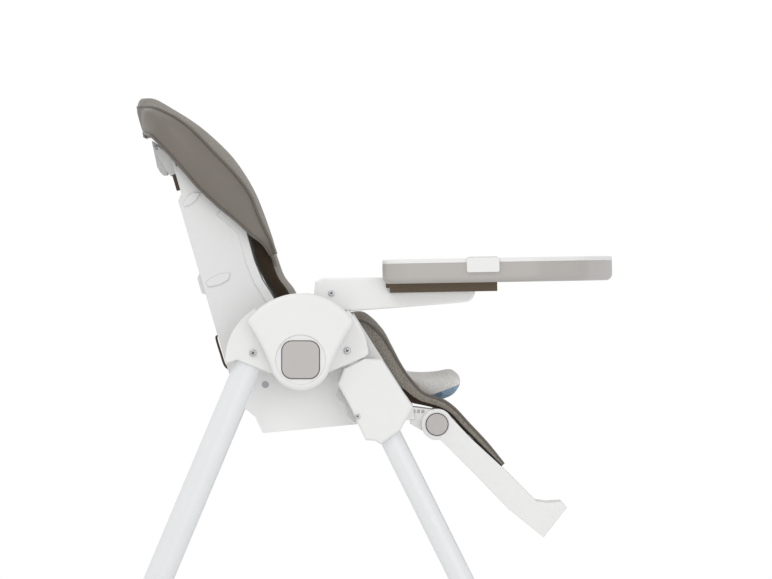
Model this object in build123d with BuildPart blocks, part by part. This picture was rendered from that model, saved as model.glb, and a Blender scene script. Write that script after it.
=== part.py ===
from build123d import *
from math import atan2, cos, degrees, hypot, radians, sin, tan
import os

os.makedirs("parts", exist_ok=True)

# A folding high chair. Millimetres, +X to the front, +Y to the left, +Z up, standing on z = 0.
# Shapes seen from the side are given as (forward, up) from the fold pivot of the legs.

# Overall sizes
pivot_height = 670.0          # fold pivot above the floor
front_lean = 26.5             # front legs from vertical, degrees
rear_lean = 22.8              # rear legs from vertical, degrees
leg_out = 205.0               # middle of each leg from the middle of the chair
tube_wall = 1.5
front_tube_deep, front_tube_wide = 31.5, 22.0
rear_tube_deep, rear_tube_wide = 38.0, 22.0
front_joint = (65.1, 12.6)    # screw that holds the front leg in its bracket
rear_joint = (-66.9, 9.4)     # screw that holds the rear leg in its bracket
leg_above_screw = 13.0

# Clearances
slide_gap = 0.6               # seat sleeve around the leg, tray tongue in its groove
turn_gap = 0.3                # pins in their bores, buttons in their windows
soft_gap = 0.8                # cushions beside hard pieces

# Hub
bracket_half = 15.0           # half the bracket's thickness about the leg
disc_radius = 40.0
disc_split_gap = 0.3
hub_pin = 16.0
cover_thick = 31.0
cover_wall = 3.0
button_side, button_corner, button_proud = 52.0, 14.0, 1.6
button_thick, button_travel = 14.0, 5.0
screw_shank, screw_head = 6.0, 10.0

# Seat
seat_half = 159.0             # outside of the seat shell
shell_wall = 4.0
plate_thick = 17.0            # casing plate on the seat's side
sleeve_out = 17.0             # sleeve reach outside the middle of the leg
arm_wide = 24.0
recline_pivot = (-50.0, -35.0)
recline_pin = 10.0
handle_joint = (-203.5, 296.8)
handle_half, ear_thick = 55.0, 6.0
back_half = 150.0             # outside of the backrest shell
back_end_radius = 36.0
hood_half = 172.0             # outside of the padded hood

# Footrest
footrest_joint = (191.0, -91.0)
footrest_button_radius = 15.3
footrest_boss_radius = 22.0
lug_out, lug_thick = 151.0, 10.0
cheek_thick = 9.0

# Tray
tray_rear = 116.6             # rear end of the tray in its middle position
tray_long, tray_half = 324.0, 250.0
tray_low, tray_deck, tray_rim, tray_high = 106.0, 118.5, 134.0, 140.0
tray_tilt = 1.0
tray_wall = 3.5
rail_long, rail_low, rail_high = 156.0, 93.4, 107.4
tongue = 6.0
clip_at, clip_long, clip_deep = 118.0, 46.0, 21.0

# Feet and wheels
pad_thick = 5.0
crossbar = 25.0
wheel_radius, wheel_wide, wheel_axle = 25.0, 15.0, 6.0
wheel_back = 24.0             # wheel middle behind the leg's line at the floor

front_dir = (sin(radians(front_lean)), -cos(radians(front_lean)))
rear_dir = (-sin(radians(rear_lean)), -cos(radians(rear_lean)))
front_reach = (pivot_height + front_joint[1]) / -front_dir[1]
rear_reach = (pivot_height + rear_joint[1]) / -rear_dir[1]
front_floor = front_joint[0] + front_dir[0] * front_reach
rear_floor = rear_joint[0] + rear_dir[0] * rear_reach
front_most = max(tray_rear + tray_long, front_floor + 26)
rear_most = rear_floor - wheel_back - wheel_radius
pivot_x = -(front_most + rear_most) / 2

bracket_in = leg_out - bracket_half
bracket_out = leg_out + bracket_half
sleeve_face = leg_out + sleeve_out
plate_out = seat_half + plate_thick
arm_out = seat_half + arm_wide


def side(out):
    # plane facing outward on the right-hand side, its middle on the fold pivot
    return Plane(origin=(pivot_x, -out, pivot_height), x_dir=(1, 0, 0), z_dir=(0, -1, 0))


def along(start, direction, distance=0, out=leg_out):
    # plane across a leg, a distance along it
    place = (pivot_x + start[0] + direction[0] * distance, -out,
             pivot_height + start[1] + direction[1] * distance)
    return Plane(origin=place, x_dir=(-direction[1], 0, direction[0]), z_dir=(direction[0], 0, direction[1]))


def floor_side(out, x):
    # plane facing outward on the right-hand side, its middle on the floor under a leg
    return Plane(origin=(pivot_x + x, -out, 0), x_dir=(1, 0, 0), z_dir=(0, -1, 0))


def shape(points, mode=Mode.ADD):
    # closed straight-sided outline
    Polygon(*points, align=None, mode=mode)


def finish(piece, label):
    piece.part.label = label
    export_step(piece.part, f"parts/{label}.step")


def finish_pair(piece, label):
    # the right-hand piece and its mirror image on the left
    finish(piece, label + "_right")
    with BuildPart() as twin:
        mirror(piece.part, about=Plane.XZ)
    finish(twin, label + "_left")


# ---------------------------------------------------------------- legs, brackets and feet

def leg_tube(start, direction, deep, wide, length):
    with BuildPart() as tube:
        with BuildSketch(along(start, direction, -leg_above_screw)):
            Ellipse(deep / 2, wide / 2)
            Ellipse(deep / 2 - tube_wall, wide / 2 - tube_wall, mode=Mode.SUBTRACT)
        extrude(amount=leg_above_screw + length)
        with BuildSketch(side(leg_out - wide)):
            with Locations(start):
                Circle(screw_shank / 2)
        extrude(amount=2 * wide, mode=Mode.SUBTRACT)
    return tube


front_leg_end = front_reach - 34
rear_leg_end = rear_reach - 72
front_leg = leg_tube(front_joint, front_dir, front_tube_deep, front_tube_wide, front_leg_end)
rear_leg = leg_tube(rear_joint, rear_dir, rear_tube_deep, rear_tube_wide, rear_leg_end)
finish_pair(front_leg, "front_leg")
finish_pair(rear_leg, "rear_leg")

# outlines of the two bracket wings, each with its leg socket mouth square to the leg
with BuildSketch() as rear_wing:
    with BuildLine():
        Polyline((-42, 44), (-50, 8), (-40.6, -19.7), (-89.0, 0.0), (-104.5, -5.0), (-106.0, 3.0))
        ThreePointArc((-106.0, 3.0), (-91.5, 46.0), (-64.0, 72.0))
        Line((-64.0, 72.0), (-42, 44))
    make_face()

with BuildSketch() as front_wing:
    with BuildLine():
        Polyline((44, 40), (47, 12), (39.0, -18.0), (89.5, 3.6), (95.0, 8.0))
        ThreePointArc((95.0, 8.0), (88.5, 36.0), (66.0, 70.0))
        Line((66.0, 70.0), (44, 40))
    make_face()

with BuildPart() as front_bracket:
    with BuildSketch(side(bracket_in)):
        Circle(disc_radius)
        add(front_wing.sketch)
        shape([(44, 40), (20, 34), (24, -30), (39, -18), (47, 12)])
        Circle(hub_pin / 2, mode=Mode.SUBTRACT)
    extrude(amount=bracket_half - disc_split_gap)
    with BuildSketch(side(leg_out - disc_split_gap)):
        add(front_wing.sketch)
        Circle(disc_radius + 2, mode=Mode.SUBTRACT)
    extrude(amount=bracket_half + disc_split_gap)
    with BuildSketch(along(front_joint, front_dir, -leg_above_screw)):
        Ellipse(front_tube_deep / 2, front_tube_wide / 2)
    extrude(amount=80, mode=Mode.SUBTRACT)
    with BuildSketch(side(bracket_in)):
        with Locations(front_joint):
            Circle(screw_shank / 2)
    extrude(amount=2 * bracket_half, mode=Mode.SUBTRACT)
finish_pair(front_bracket, "front_bracket")

with BuildPart() as rear_bracket:
    with BuildSketch(side(leg_out)):
        Circle(disc_radius)
        add(rear_wing.sketch)
        shape([(-42, 44), (-18, 34), (-22, -31), (-40.6, -19.7), (-50, 8)])
        Circle(hub_pin / 2 + turn_gap, mode=Mode.SUBTRACT)
    extrude(amount=bracket_half - turn_gap)
    with BuildSketch(side(bracket_in)):
        add(rear_wing.sketch)
        Circle(disc_radius + 2, mode=Mode.SUBTRACT)
    extrude(amount=bracket_half)
    with BuildSketch(along(rear_joint, rear_dir, -leg_above_screw)):
        Ellipse(rear_tube_deep / 2, rear_tube_wide / 2)
    extrude(amount=80, mode=Mode.SUBTRACT)
    with BuildSketch(side(bracket_in)):
        with Locations(rear_joint):
            Circle(screw_shank / 2)
    extrude(amount=2 * bracket_half, mode=Mode.SUBTRACT)
finish_pair(rear_bracket, "rear_bracket")


def screw_pair(place, inner, outer, shank, head, label, head_high=3.0):
    # a domed screw on each side, shank from inner to outer, head outside
    with BuildPart() as screws:
        with BuildSketch(side(inner)):
            with Locations(place):
                Circle(shank / 2)
        extrude(amount=outer - inner)
        with BuildSketch(side(outer)):
            with Locations(place):
                Circle(head / 2)
        extrude(amount=head_high)
        fillet(screws.faces().sort_by(Axis.Y)[0].edges(), head_high * 0.6)
        mirror(screws.part, about=Plane.XZ)
    finish(screws, label)


screw_pair(front_joint, bracket_in, bracket_out, screw_shank, screw_head, "front_leg_screws")
screw_pair(rear_joint, bracket_in, bracket_out - turn_gap, screw_shank, screw_head, "rear_leg_screws")

with BuildPart() as hub_pivots:
    with BuildSketch(side(bracket_in - 4)):
        Circle(hub_pin / 2 + 5)
    extrude(amount=4)
    with BuildSketch(side(bracket_in)):
        Circle(hub_pin / 2)
    extrude(amount=2 * bracket_half)
    mirror(hub_pivots.part, about=Plane.XZ)
finish(hub_pivots, "hub_pivots")

# the cover is a mushroom: a dome over both wings and a round lobe under the pivot
dome = 93.0
lobe = 43.0


mushrooms = []
for inset in (0, cover_wall):
    tip_x, tip_y, flank_x, flank_y = 75.6 - 1.2 * inset, 53.4, 55 - 0.86 * inset, 19.5 + 0.51 * inset
    end_x, end_y = 38.5 * (lobe - inset) / lobe, -19.2 * (lobe - inset) / lobe
    with BuildSketch() as outline:
        with BuildLine():
            ThreePointArc((tip_x, tip_y), (0, dome - inset), (-tip_x, tip_y))
            ThreePointArc((-tip_x, tip_y), (-flank_x, flank_y), (-end_x, end_y))
            ThreePointArc((-end_x, end_y), (0, -lobe + inset), (end_x, end_y))
            ThreePointArc((end_x, end_y), (flank_x, flank_y), (tip_x, tip_y))
        make_face()
        fillet(outline.vertices(), 8 - inset)
    mushrooms.append(outline.sketch)

with BuildPart() as hub_cover:
    with BuildSketch(side(bracket_out)):
        add(mushrooms[0])
    extrude(amount=cover_thick)
    fillet(hub_cover.faces().sort_by(Axis.Y)[0].edges(), 7)
    with BuildSketch(side(bracket_out)):
        add(mushrooms[1])
    extrude(amount=cover_thick - 9, mode=Mode.SUBTRACT)
    with BuildSketch(side(bracket_out + cover_thick - 1.2)):
        Circle(button_side / 2 + 9)
    extrude(amount=5, mode=Mode.SUBTRACT)
    with BuildSketch(side(bracket_out)):
        RectangleRounded(button_side + 2 * turn_gap, button_side + 2 * turn_gap, button_corner + turn_gap)
    extrude(amount=cover_thick + 5, mode=Mode.SUBTRACT)
finish_pair(hub_cover, "hub_cover")

with BuildPart() as fold_button:
    with BuildSketch(side(bracket_out + cover_thick + button_proud - button_thick)):
        RectangleRounded(button_side, button_side, button_corner)
    extrude(amount=button_thick)
    fillet(fold_button.faces().sort_by(Axis.Y)[0].edges(), 2)
    with BuildSketch(side(bracket_out + cover_thick - 21)):
        Circle(9)
    extrude(amount=21 + button_proud - button_thick)
finish_pair(fold_button, "fold_button")


# shoes at the ends of the front legs, with a rubber pad under each and a bar between them
shoe_in, shoe_out = leg_out - 17.0, leg_out + 17.0
front_bar = (-44.0, 26.0)
with BuildPart() as front_foot:
    with BuildSketch(floor_side(shoe_in, front_floor)):
        shape([(-66, pad_thick), (26, pad_thick), (26, 15), (-8, 82), (-50, 62), (-66, 34)])
    extrude(amount=shoe_out - shoe_in)
    fillet(front_foot.faces().sort_by(Axis.Y)[0].edges(), 4)
    with BuildSketch(along(front_joint, front_dir)):
        Ellipse(front_tube_deep / 2, front_tube_wide / 2)
    extrude(amount=front_leg_end, mode=Mode.SUBTRACT)
    with BuildSketch(floor_side(shoe_in, front_floor)):
        with Locations(front_bar):
            Circle(crossbar / 2)
    extrude(amount=12, mode=Mode.SUBTRACT)
finish_pair(front_foot, "front_foot")

with BuildPart() as front_foot_pads:
    with BuildSketch(Plane(origin=(pivot_x + front_floor - 20, -leg_out, 0))):
        RectangleRounded(84, shoe_out - shoe_in - 8, 8)
    extrude(amount=pad_thick)
    mirror(front_foot_pads.part, about=Plane.XZ)
finish(front_foot_pads, "front_foot_pads")

with BuildPart() as front_crossbar:
    with BuildSketch(floor_side(-shoe_in - 12, front_floor)):
        with Locations(front_bar):
            Circle(crossbar / 2)
            Circle(crossbar / 2 - tube_wall, mode=Mode.SUBTRACT)
    extrude(amount=2 * (shoe_in + 12))
finish(front_crossbar, "front_crossbar")

# shoes at the ends of the rear legs, forked round a wheel
rear_bar = (24.0, 36.0)
wheel_at = (-wheel_back, wheel_radius)
wheel_room = wheel_wide / 2 + 1.5
with BuildPart() as rear_foot:
    with BuildSketch(floor_side(shoe_in, rear_floor)):
        with BuildLine():
            Polyline((-44, 24), (-44, 44), (-2, 100), (44, 82), (44, 20), (30, 10), (-10, 10), (-44, 24))
        make_face()
        with Locations(wheel_at):
            Circle(15)
    extrude(amount=shoe_out - shoe_in)
    fillet(rear_foot.faces().sort_by(Axis.Y)[0].edges(), 3)
    with BuildSketch(floor_side(leg_out - wheel_room, rear_floor)):
        with Locations(wheel_at):
            Circle(wheel_radius + 3)
    extrude(amount=2 * wheel_room, mode=Mode.SUBTRACT)
    with BuildSketch(floor_side(shoe_in, rear_floor)):
        with Locations(wheel_at):
            Circle(wheel_axle / 2)
    extrude(amount=shoe_out - shoe_in, mode=Mode.SUBTRACT)
    with BuildSketch(along(rear_joint, rear_dir)):
        Ellipse(rear_tube_deep / 2, rear_tube_wide / 2)
    extrude(amount=rear_leg_end, mode=Mode.SUBTRACT)
    with BuildSketch(floor_side(shoe_in, rear_floor)):
        with Locations(rear_bar):
            Circle(crossbar / 2)
    extrude(amount=9, mode=Mode.SUBTRACT)
finish_pair(rear_foot, "rear_foot")

with BuildPart() as wheel_axles:
    with BuildSketch(floor_side(shoe_in, rear_floor)):
        with Locations(wheel_at):
            Circle(wheel_axle / 2)
    extrude(amount=shoe_out - shoe_in)
    mirror(wheel_axles.part, about=Plane.XZ)
finish(wheel_axles, "wheel_axles")

with BuildPart() as wheel_rim:
    with BuildSketch(floor_side(leg_out - wheel_wide / 2, rear_floor)):
        with Locations(wheel_at):
            Circle(wheel_radius - 5)
            Circle(wheel_axle / 2 + turn_gap, mode=Mode.SUBTRACT)
    extrude(amount=wheel_wide)
finish_pair(wheel_rim, "wheel_rim")

with BuildPart() as wheel_tyre:
    with BuildSketch(floor_side(leg_out - wheel_wide / 2, rear_floor)):
        with Locations(wheel_at):
            Circle(wheel_radius)
            Circle(wheel_radius - 5, mode=Mode.SUBTRACT)
    extrude(amount=wheel_wide)
    fillet(wheel_tyre.edges().filter_by(GeomType.CIRCLE).sort_by(SortBy.RADIUS)[-2:], 2)
finish_pair(wheel_tyre, "wheel_tyre")

with BuildPart() as rear_crossbar:
    with BuildSketch(floor_side(-shoe_in - 9, rear_floor)):
        with Locations(rear_bar):
            Circle(crossbar / 2)
            Circle(crossbar / 2 - tube_wall, mode=Mode.SUBTRACT)
    extrude(amount=2 * (shoe_in + 9))
finish(rear_crossbar, "rear_crossbar")


# ---------------------------------------------------------------- seat

seat_outline = [(-78.5, -69), (-64.3, -79.8), (-53.5, -103), (71.5, -91.4), (139, -86), (160, -84),
                (157, -64), (146, -48), (66, 60), (62, 106), (26, 106), (20, 70), (-45, 70), (-78, 30)]
seat_well = [(-120, 120), (-120, -30), (-75.5, -65.5), (-60.8, -77.3), (-50.8, -98.7), (-9, -95),
             (-9, -56), (148, -58), (170, -50), (170, 120)]
seat_under = [(-5, -112), (-5, -60), (146, -62), (153, -80), (153, -112)]
with BuildPart() as seat_shell:
    with BuildSketch(side(-seat_half)):
        shape(seat_outline)
    extrude(amount=2 * seat_half)
    with BuildSketch(side(-seat_half + shell_wall)):
        shape(seat_well)
        shape(seat_under)
    extrude(amount=2 * (seat_half - shell_wall), mode=Mode.SUBTRACT)
    # ribs under the seat
    for rib in (-52, 0, 52):
        with BuildSketch(side(rib - 2)):
            shape([(-5, -96), (-5, -60), (146, -62), (153, -80), (153, -84)])
        extrude(amount=4)
    # bosses for the backrest pins and lugs for the footrest
    for out in (back_half + turn_gap, -seat_half + shell_wall):
        with BuildSketch(side(out)):
            with Locations(recline_pivot):
                Circle(recline_pin / 2 + 7)
        extrude(amount=seat_half - shell_wall - back_half - turn_gap)
    for out in (lug_out - lug_thick, -lug_out):
        with BuildSketch(side(out)):
            shape([(153, -66), (190, -71), (176, -103), (153, -90)])
            with Locations(footrest_joint):
                Circle(20)
                Circle(recline_pin / 2, mode=Mode.SUBTRACT)
        extrude(amount=lug_thick)
    with BuildSketch(side(-seat_half)):
        with Locations(recline_pivot):
            Circle(recline_pin / 2)
        with Locations((42.8, 93.2)):
            Circle(2)
    extrude(amount=2 * seat_half, mode=Mode.SUBTRACT)
finish(seat_shell, "seat_shell")

with BuildPart() as recline_hinge_pins:
    with BuildSketch(side(back_half - 12)):
        with Locations(recline_pivot):
            Circle(recline_pin / 2)
    extrude(amount=seat_half - back_half + 12)
    mirror(recline_hinge_pins.part, about=Plane.XZ)
finish(recline_hinge_pins, "recline_hinge_pins")

# casing: an inner plate on the seat's side and a sleeve that slides on the front leg
plate_outline = [(73.2, 66.5), (157.2, -66.2), (139, -99.8), (112.4, -118.6), (103.9, -113.5), (91, -112.8),
                 (79.7, -89.3), (72.4, -72.1), (51.8, -33.6), (56, -20), (64, 20)]
sleeve_outline = [(60.6, -12.5), (89.6, 1.8), (114.3, 0.6), (157.2, -66.2), (139, -99.8), (112.4, -118.6),
                  (103.9, -113.5), (91, -112.8), (79.7, -89.3), (72.4, -72.1), (51.8, -33.6)]
lever_joint = (79.7, -79.2)
lever_outline = [(52.5, -39.3), (49.4, -50.8), (62.4, -63.4), (65.2, -77.8), (73.9, -87.5), (84, -85),
                 (84, -73), (73.2, -71.1)]
lever_in, lever_thick = leg_out - 22, 18.0
with BuildPart() as side_casing:
    with BuildSketch(side(seat_half)):
        shape(plate_outline)
    extrude(amount=plate_thick)
    with BuildSketch(side(plate_out)):
        shape(sleeve_outline)
    extrude(amount=sleeve_face - plate_out)
    fillet(side_casing.faces().sort_by(Axis.Y)[0].edges(), 4)
    with BuildSketch(along(front_joint, front_dir, -leg_above_screw)):
        Ellipse(front_tube_deep / 2 + slide_gap, front_tube_wide / 2 + slide_gap)
    extrude(amount=260, mode=Mode.SUBTRACT)
    with BuildSketch(side(lever_in - 0.5)):
        shape(lever_outline)
        offset(amount=1.2)
        with Locations(lever_joint):
            Circle(10.5)
    extrude(amount=lever_thick + 1, mode=Mode.SUBTRACT)
    with BuildSketch(side(lever_in - 8)):
        with Locations(lever_joint):
            Circle(2.5)
    extrude(amount=sleeve_face - lever_in + 8, mode=Mode.SUBTRACT)
finish_pair(side_casing, "side_casing")

with BuildPart() as height_lever:
    with BuildSketch(side(lever_in)):
        shape(lever_outline)
        with Locations(lever_joint):
            Circle(2.5 + turn_gap, mode=Mode.SUBTRACT)
    extrude(amount=lever_thick)
finish_pair(height_lever, "height_lever")
screw_pair(lever_joint, lever_in - 8, sleeve_face, 5, 7.5, "casing_screws", 2.0)

# armrests, with a groove for the tray's tongues
tray_plane_tilt = (cos(radians(tray_tilt)), sin(radians(tray_tilt)))


def tray_side(out):
    # plane facing outward, x along the tilted tray from its rear end, y up from the pivot's level
    return Plane(origin=(pivot_x + tray_rear, -out, pivot_height),
                 x_dir=(tray_plane_tilt[0], 0, tray_plane_tilt[1]), z_dir=(0, -1, 0))


def tray_top(up):
    # plane facing up along the tilted tray
    return Plane(origin=(pivot_x + tray_rear - up * tray_plane_tilt[1], 0, pivot_height + up * tray_plane_tilt[0]),
                 x_dir=(tray_plane_tilt[0], 0, tray_plane_tilt[1]),
                 z_dir=(-tray_plane_tilt[1], 0, tray_plane_tilt[0]))


groove_low = rail_low + 3.0
tongue_reach = 4.0
with BuildPart() as armrest:
    with BuildSketch(side(seat_half)):
        with BuildLine():
            Polyline((20.6, 109.5), (18, 90), (24, 72), (70.4, 67.9), (150, 73.8), (217.4, 79.4), (232.5, 80.8))
            ThreePointArc((232.5, 80.8), (243.5, 91), (236, 110))
            Polyline((236, 110), (226, 115.6), (30.4, 114.8), (20.6, 109.5))
        make_face()
    extrude(amount=arm_wide)
    fillet(armrest.faces().sort_by(Axis.Y)[0].edges(), 3)
    with BuildSketch(tray_side(arm_out - tongue_reach - 0.2)):
        with Locations((107, groove_low + tongue / 2)):
            Rectangle(186, tongue + 2 * turn_gap)
    extrude(amount=tongue_reach + 5, mode=Mode.SUBTRACT)
    with BuildSketch(side(seat_half)):
        with Locations((42.8, 93.2)):
            Circle(2)
    extrude(amount=arm_wide, mode=Mode.SUBTRACT)
finish_pair(armrest, "armrest")
screw_pair((42.8, 93.2), seat_half - shell_wall, arm_out, 4, 9, "armrest_screws", 2.0)

# ---------------------------------------------------------------- tray

# seen from above, x forward from the tray's rear end: a shallow scoop behind, a bowed front
front_bow, rear_scoop = 21.0, 52.0
tray_corner = tray_long - front_bow
corner_rounds = [(22, 0, 150), (30, 0, tray_half - 18), (30, 26, tray_half), (60, 215, tray_half),
                 (60, tray_corner - 18, 205), (60, tray_corner, 145)]
with BuildSketch() as tray_outline:
    with BuildLine():
        Polyline((0, 150), (0, tray_half - 18), (26, tray_half), (215, tray_half), (tray_corner - 18, 205),
                 (tray_corner, 145))
        ThreePointArc((tray_corner, 145), (tray_long, 0), (tray_corner, -145))
        Polyline((tray_corner, -145), (tray_corner - 18, -205), (215, -tray_half), (26, -tray_half),
                 (0, -tray_half + 18), (0, -150))
        ThreePointArc((0, -150), (rear_scoop, 0), (0, 150))
    make_face()
    for corner_radius, at_x, at_y in corner_rounds:
        corners = [v for v in tray_outline.vertices() if hypot(v.X - at_x, abs(v.Y) - at_y) < 1]
        fillet(corners, corner_radius)

with BuildPart() as tray_base:
    with BuildSketch(tray_top(tray_low)):
        add(tray_outline.sketch)
    extrude(amount=tray_rim - tray_low)
    fillet(tray_base.faces().sort_by(Axis.Z)[0].edges(), 9)
    with BuildSketch(tray_top(tray_low)):
        add(tray_outline.sketch)
        offset(amount=-tray_wall - 6, mode=Mode.REPLACE)
    extrude(amount=tray_deck - tray_low, mode=Mode.SUBTRACT)
    with BuildSketch(tray_top(tray_deck + tray_wall)):
        add(tray_outline.sketch)
        offset(amount=-tray_wall, mode=Mode.REPLACE)
    extrude(amount=tray_rim - tray_deck, mode=Mode.SUBTRACT)
    # the skirt is cut away behind, where the armrests and the rails pass under the deck
    for out in (seat_half - 2, -arm_out - 14.5):
        with BuildSketch(tray_side(out)):
            shape([(-8, tray_low - 3), (12, tray_low - 3), (12, tray_deck), (-8, tray_deck)])
        extrude(amount=arm_wide + 16.5, mode=Mode.SUBTRACT)
    # hangers down to the rails
    for out in (arm_out + 1.0, -arm_out - 13.0):
        with BuildSketch(tray_side(out)):
            with Locations((4.5 + rail_long / 2, (rail_high + tray_deck) / 2)):
                Rectangle(rail_long, tray_deck - rail_high)
        extrude(amount=12)
finish(tray_base, "tray_base")

with BuildPart() as tray_rail:
    with BuildSketch(tray_side(arm_out + 1.0)):
        with BuildLine():
            Polyline((4.5, rail_high), (4.5, rail_low + 7), (10, rail_low + 7), (10, rail_low),
                     (4.5 + rail_long, rail_low), (4.5 + rail_long, rail_high), (4.5, rail_high))
        make_face()
    extrude(amount=12)
    with BuildSketch(tray_side(arm_out - tongue_reach + 0.6)):
        with Locations((40 + 55, groove_low + tongue / 2)):
            Rectangle(90, tongue)
    extrude(amount=tongue_reach + 1)
finish_pair(tray_rail, "tray_rail")

with BuildPart() as tray_insert:
    with BuildSketch(tray_top(tray_rim)):
        add(tray_outline.sketch)
    extrude(amount=tray_high - tray_rim)
    fillet(tray_insert.faces().sort_by(Axis.Z)[-1].edges(), 2.5)
    with BuildSketch(tray_top(tray_deck + tray_wall + 2)):
        add(tray_outline.sketch)
        offset(amount=-tray_wall - 6, mode=Mode.REPLACE)
    extrude(amount=tray_rim - tray_deck - tray_wall - 2)
    with BuildSketch(tray_top(tray_deck + tray_wall + 5)):
        add(tray_outline.sketch)
        offset(amount=-tray_wall - 14, mode=Mode.REPLACE)
    extrude(amount=tray_high - tray_deck, mode=Mode.SUBTRACT)
finish(tray_insert, "tray_insert")

# the clips hook over the rim at each side and reach down the skirt
with BuildPart() as tray_clips:
    with BuildSketch(tray_side(tray_half + turn_gap)):
        with Locations((clip_at + clip_long / 2, tray_high + 1 - clip_deep / 2)):
            RectangleRounded(clip_long, clip_deep, 3)
    extrude(amount=3.2)
    with BuildSketch(tray_side(tray_half - 7)):
        with Locations((clip_at + clip_long / 2, tray_high + 1)):
            Rectangle(clip_long - 6, 2)
    extrude(amount=7 + turn_gap)
    mirror(tray_clips.part, about=Plane.XZ)
finish(tray_clips, "tray_clips")

# ---------------------------------------------------------------- backrest

back_lean = 16.3
back_up = (-sin(radians(back_lean)), cos(radians(back_lean)))


def back_face():
    # plane of the reclined back: x across, y up the back, z toward the child
    return Plane(origin=(pivot_x, 0, pivot_height), x_dir=(0, 1, 0), z_dir=(back_up[1], 0, -back_up[0]))


def on_back(up, over):
    # point on a line parallel to the back, up along it and forward of the back's outer face
    return (-108.8 + up * back_up[0] + over * back_up[1], 6.0 + up * back_up[1] - over * back_up[0])


recess_low, recess_deep = 232.0, 7.0
back_wall = 8.0
rim_proud, rib_proud = 2.6, 1.6     # raised mouldings on the shell's sides
shell_front = [(-133, 230.3), (-110.5, 211.5), (-84.3, 189.1), (-76.7, 179.8), (-65.5, 138.5),
               (-54.2, 111.6), (-38, 86.4), (-25, 45), (-20, -4)]
shell_rear = [(-84, -46), (-99, -25), on_back(0, 0), on_back(recess_low - 6, 0),
              on_back(recess_low + 2, recess_deep), on_back(293, recess_deep)]
shell_well = [(-86, -6), on_back(4, back_wall), on_back(recess_low - 18, back_wall),
              on_back(recess_low - 8, recess_deep + shell_wall), on_back(310, recess_deep + shell_wall),
              (60, 292), (60, -6)]
shell_rim = [(-110.5, 211.5), (-84.3, 189.1), (-76.7, 179.8), (-65.5, 138.5), (-54.2, 111.6), (-38, 86.4),
             (-25, 45), (-36.4, 41.4), (-48.9, 81.3), (-64.8, 106), (-76.9, 134.6), (-87.4, 174.3),
             (-92.9, 180.7), (-118.3, 202.4)]
upper_rib = [(-166, 219), (-160, 229), (-150, 235), (-141, 234), (-147, 224), (-156, 217), (-164, 214.5)]
lower_rib = [(-134, 108), (-126, 115), (-112, 121), (-99, 122), (-102, 112), (-114, 105), (-130, 102)]
with BuildPart() as backrest_shell:
    with BuildSketch(side(-back_half)):
        shape(shell_rear + shell_front)
        with Locations(recline_pivot):
            Circle(back_end_radius)
    extrude(amount=2 * back_half)
    with BuildSketch(side(-back_half + shell_wall)):
        shape(shell_well)
        with Locations(recline_pivot):
            Circle(back_end_radius - shell_wall)
    extrude(amount=2 * (back_half - shell_wall), mode=Mode.SUBTRACT)
    with BuildSketch(back_face()):
        with Locations((0, 357 - 400)):
            RectangleRounded(2 * back_half, 800, 70)
    extrude(amount=500, both=True, mode=Mode.INTERSECT)
    # ears behind the top edge that hold the handle's pin
    for out in (handle_half + 1, -handle_half - 1 - ear_thick):
        with BuildSketch(side(out)):
            shape([(-176, 262), (-182.5, 286), (-201, 299.5), (-207.3, 299.5), (-207.3, 294), (-194, 272),
                   (-184, 258)])
            with Locations(handle_joint):
                Circle(2, mode=Mode.SUBTRACT)
        extrude(amount=ear_thick)
    # raised band across the back
    with BuildSketch(side(-back_half + 14)):
        shape([on_back(88, 2), on_back(92, -5), on_back(114, -5), on_back(122, 2)])
    extrude(amount=2 * back_half - 28)
    with BuildSketch(side(-back_half + shell_wall)):
        shape(shell_well)
    extrude(amount=2 * (back_half - shell_wall), mode=Mode.SUBTRACT)
    with BuildSketch(side(-back_half)):
        with Locations(recline_pivot):
            Circle(recline_pin / 2 + turn_gap)
    extrude(amount=2 * back_half, mode=Mode.SUBTRACT)
    # rolled rim along the front edge of each side, and two lens-shaped ribs
    for outline, proud in ((shell_rim, rim_proud), (upper_rib, rib_proud), (lower_rib, rib_proud)):
        for out in (back_half - 0.5, -back_half - proud):
            with BuildSketch(side(out)):
                shape(outline)
            extrude(amount=proud + 0.5)
finish(backrest_shell, "backrest_shell")

cover_outline = [(-182, 290.8), (-215.5, 309.1), (-218.3, 316.5), (-232.4, 354.1), (-218.3, 367.2),
                 (-204.3, 361.6), (-174.3, 346.6), (-140.4, 322.1), (-110.5, 297.8), (-87.9, 271.6),
                 (-69.3, 241.6), (-58, 217.3), (-44.8, 176), (-33.6, 142.2), (-24.2, 114.1), (-8.8, 96.9),
                 (4, 88), (9, 60), (4, 34), (-14, 34), (-22, 50), (-35.5, 87.4), (-52, 112.6),
                 (-63.3, 139.4), (-74.6, 181), (-82.7, 191), (-109, 213.5), (-131.5, 232.3)]
with BuildPart() as backrest_cover:
    with BuildSketch(side(-hood_half)):
        shape(cover_outline)
    extrude(amount=2 * hood_half)
    with BuildSketch(back_face()):
        with Locations((0, 413.8 - 400)):
            RectangleRounded(2 * hood_half, 800, 105)
    extrude(amount=500, both=True, mode=Mode.INTERSECT)
    with BuildSketch(back_face()):
        with Locations((0, 366 - 400)):
            RectangleRounded(2 * (hood_half - 52), 800, 70)
    extrude(amount=500, both=True, mode=Mode.SUBTRACT)
    with BuildSketch(back_face()):
        with Locations((0, -300)):
            Rectangle(2 * hood_half + 20, 2 * (300 + 150))
        with Locations((0, -300)):
            Rectangle(2 * (back_half - 2), 2 * (300 + 150) + 20, mode=Mode.SUBTRACT)
    extrude(amount=500, both=True, mode=Mode.SUBTRACT)
finish(backrest_cover, "backrest_cover")

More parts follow.
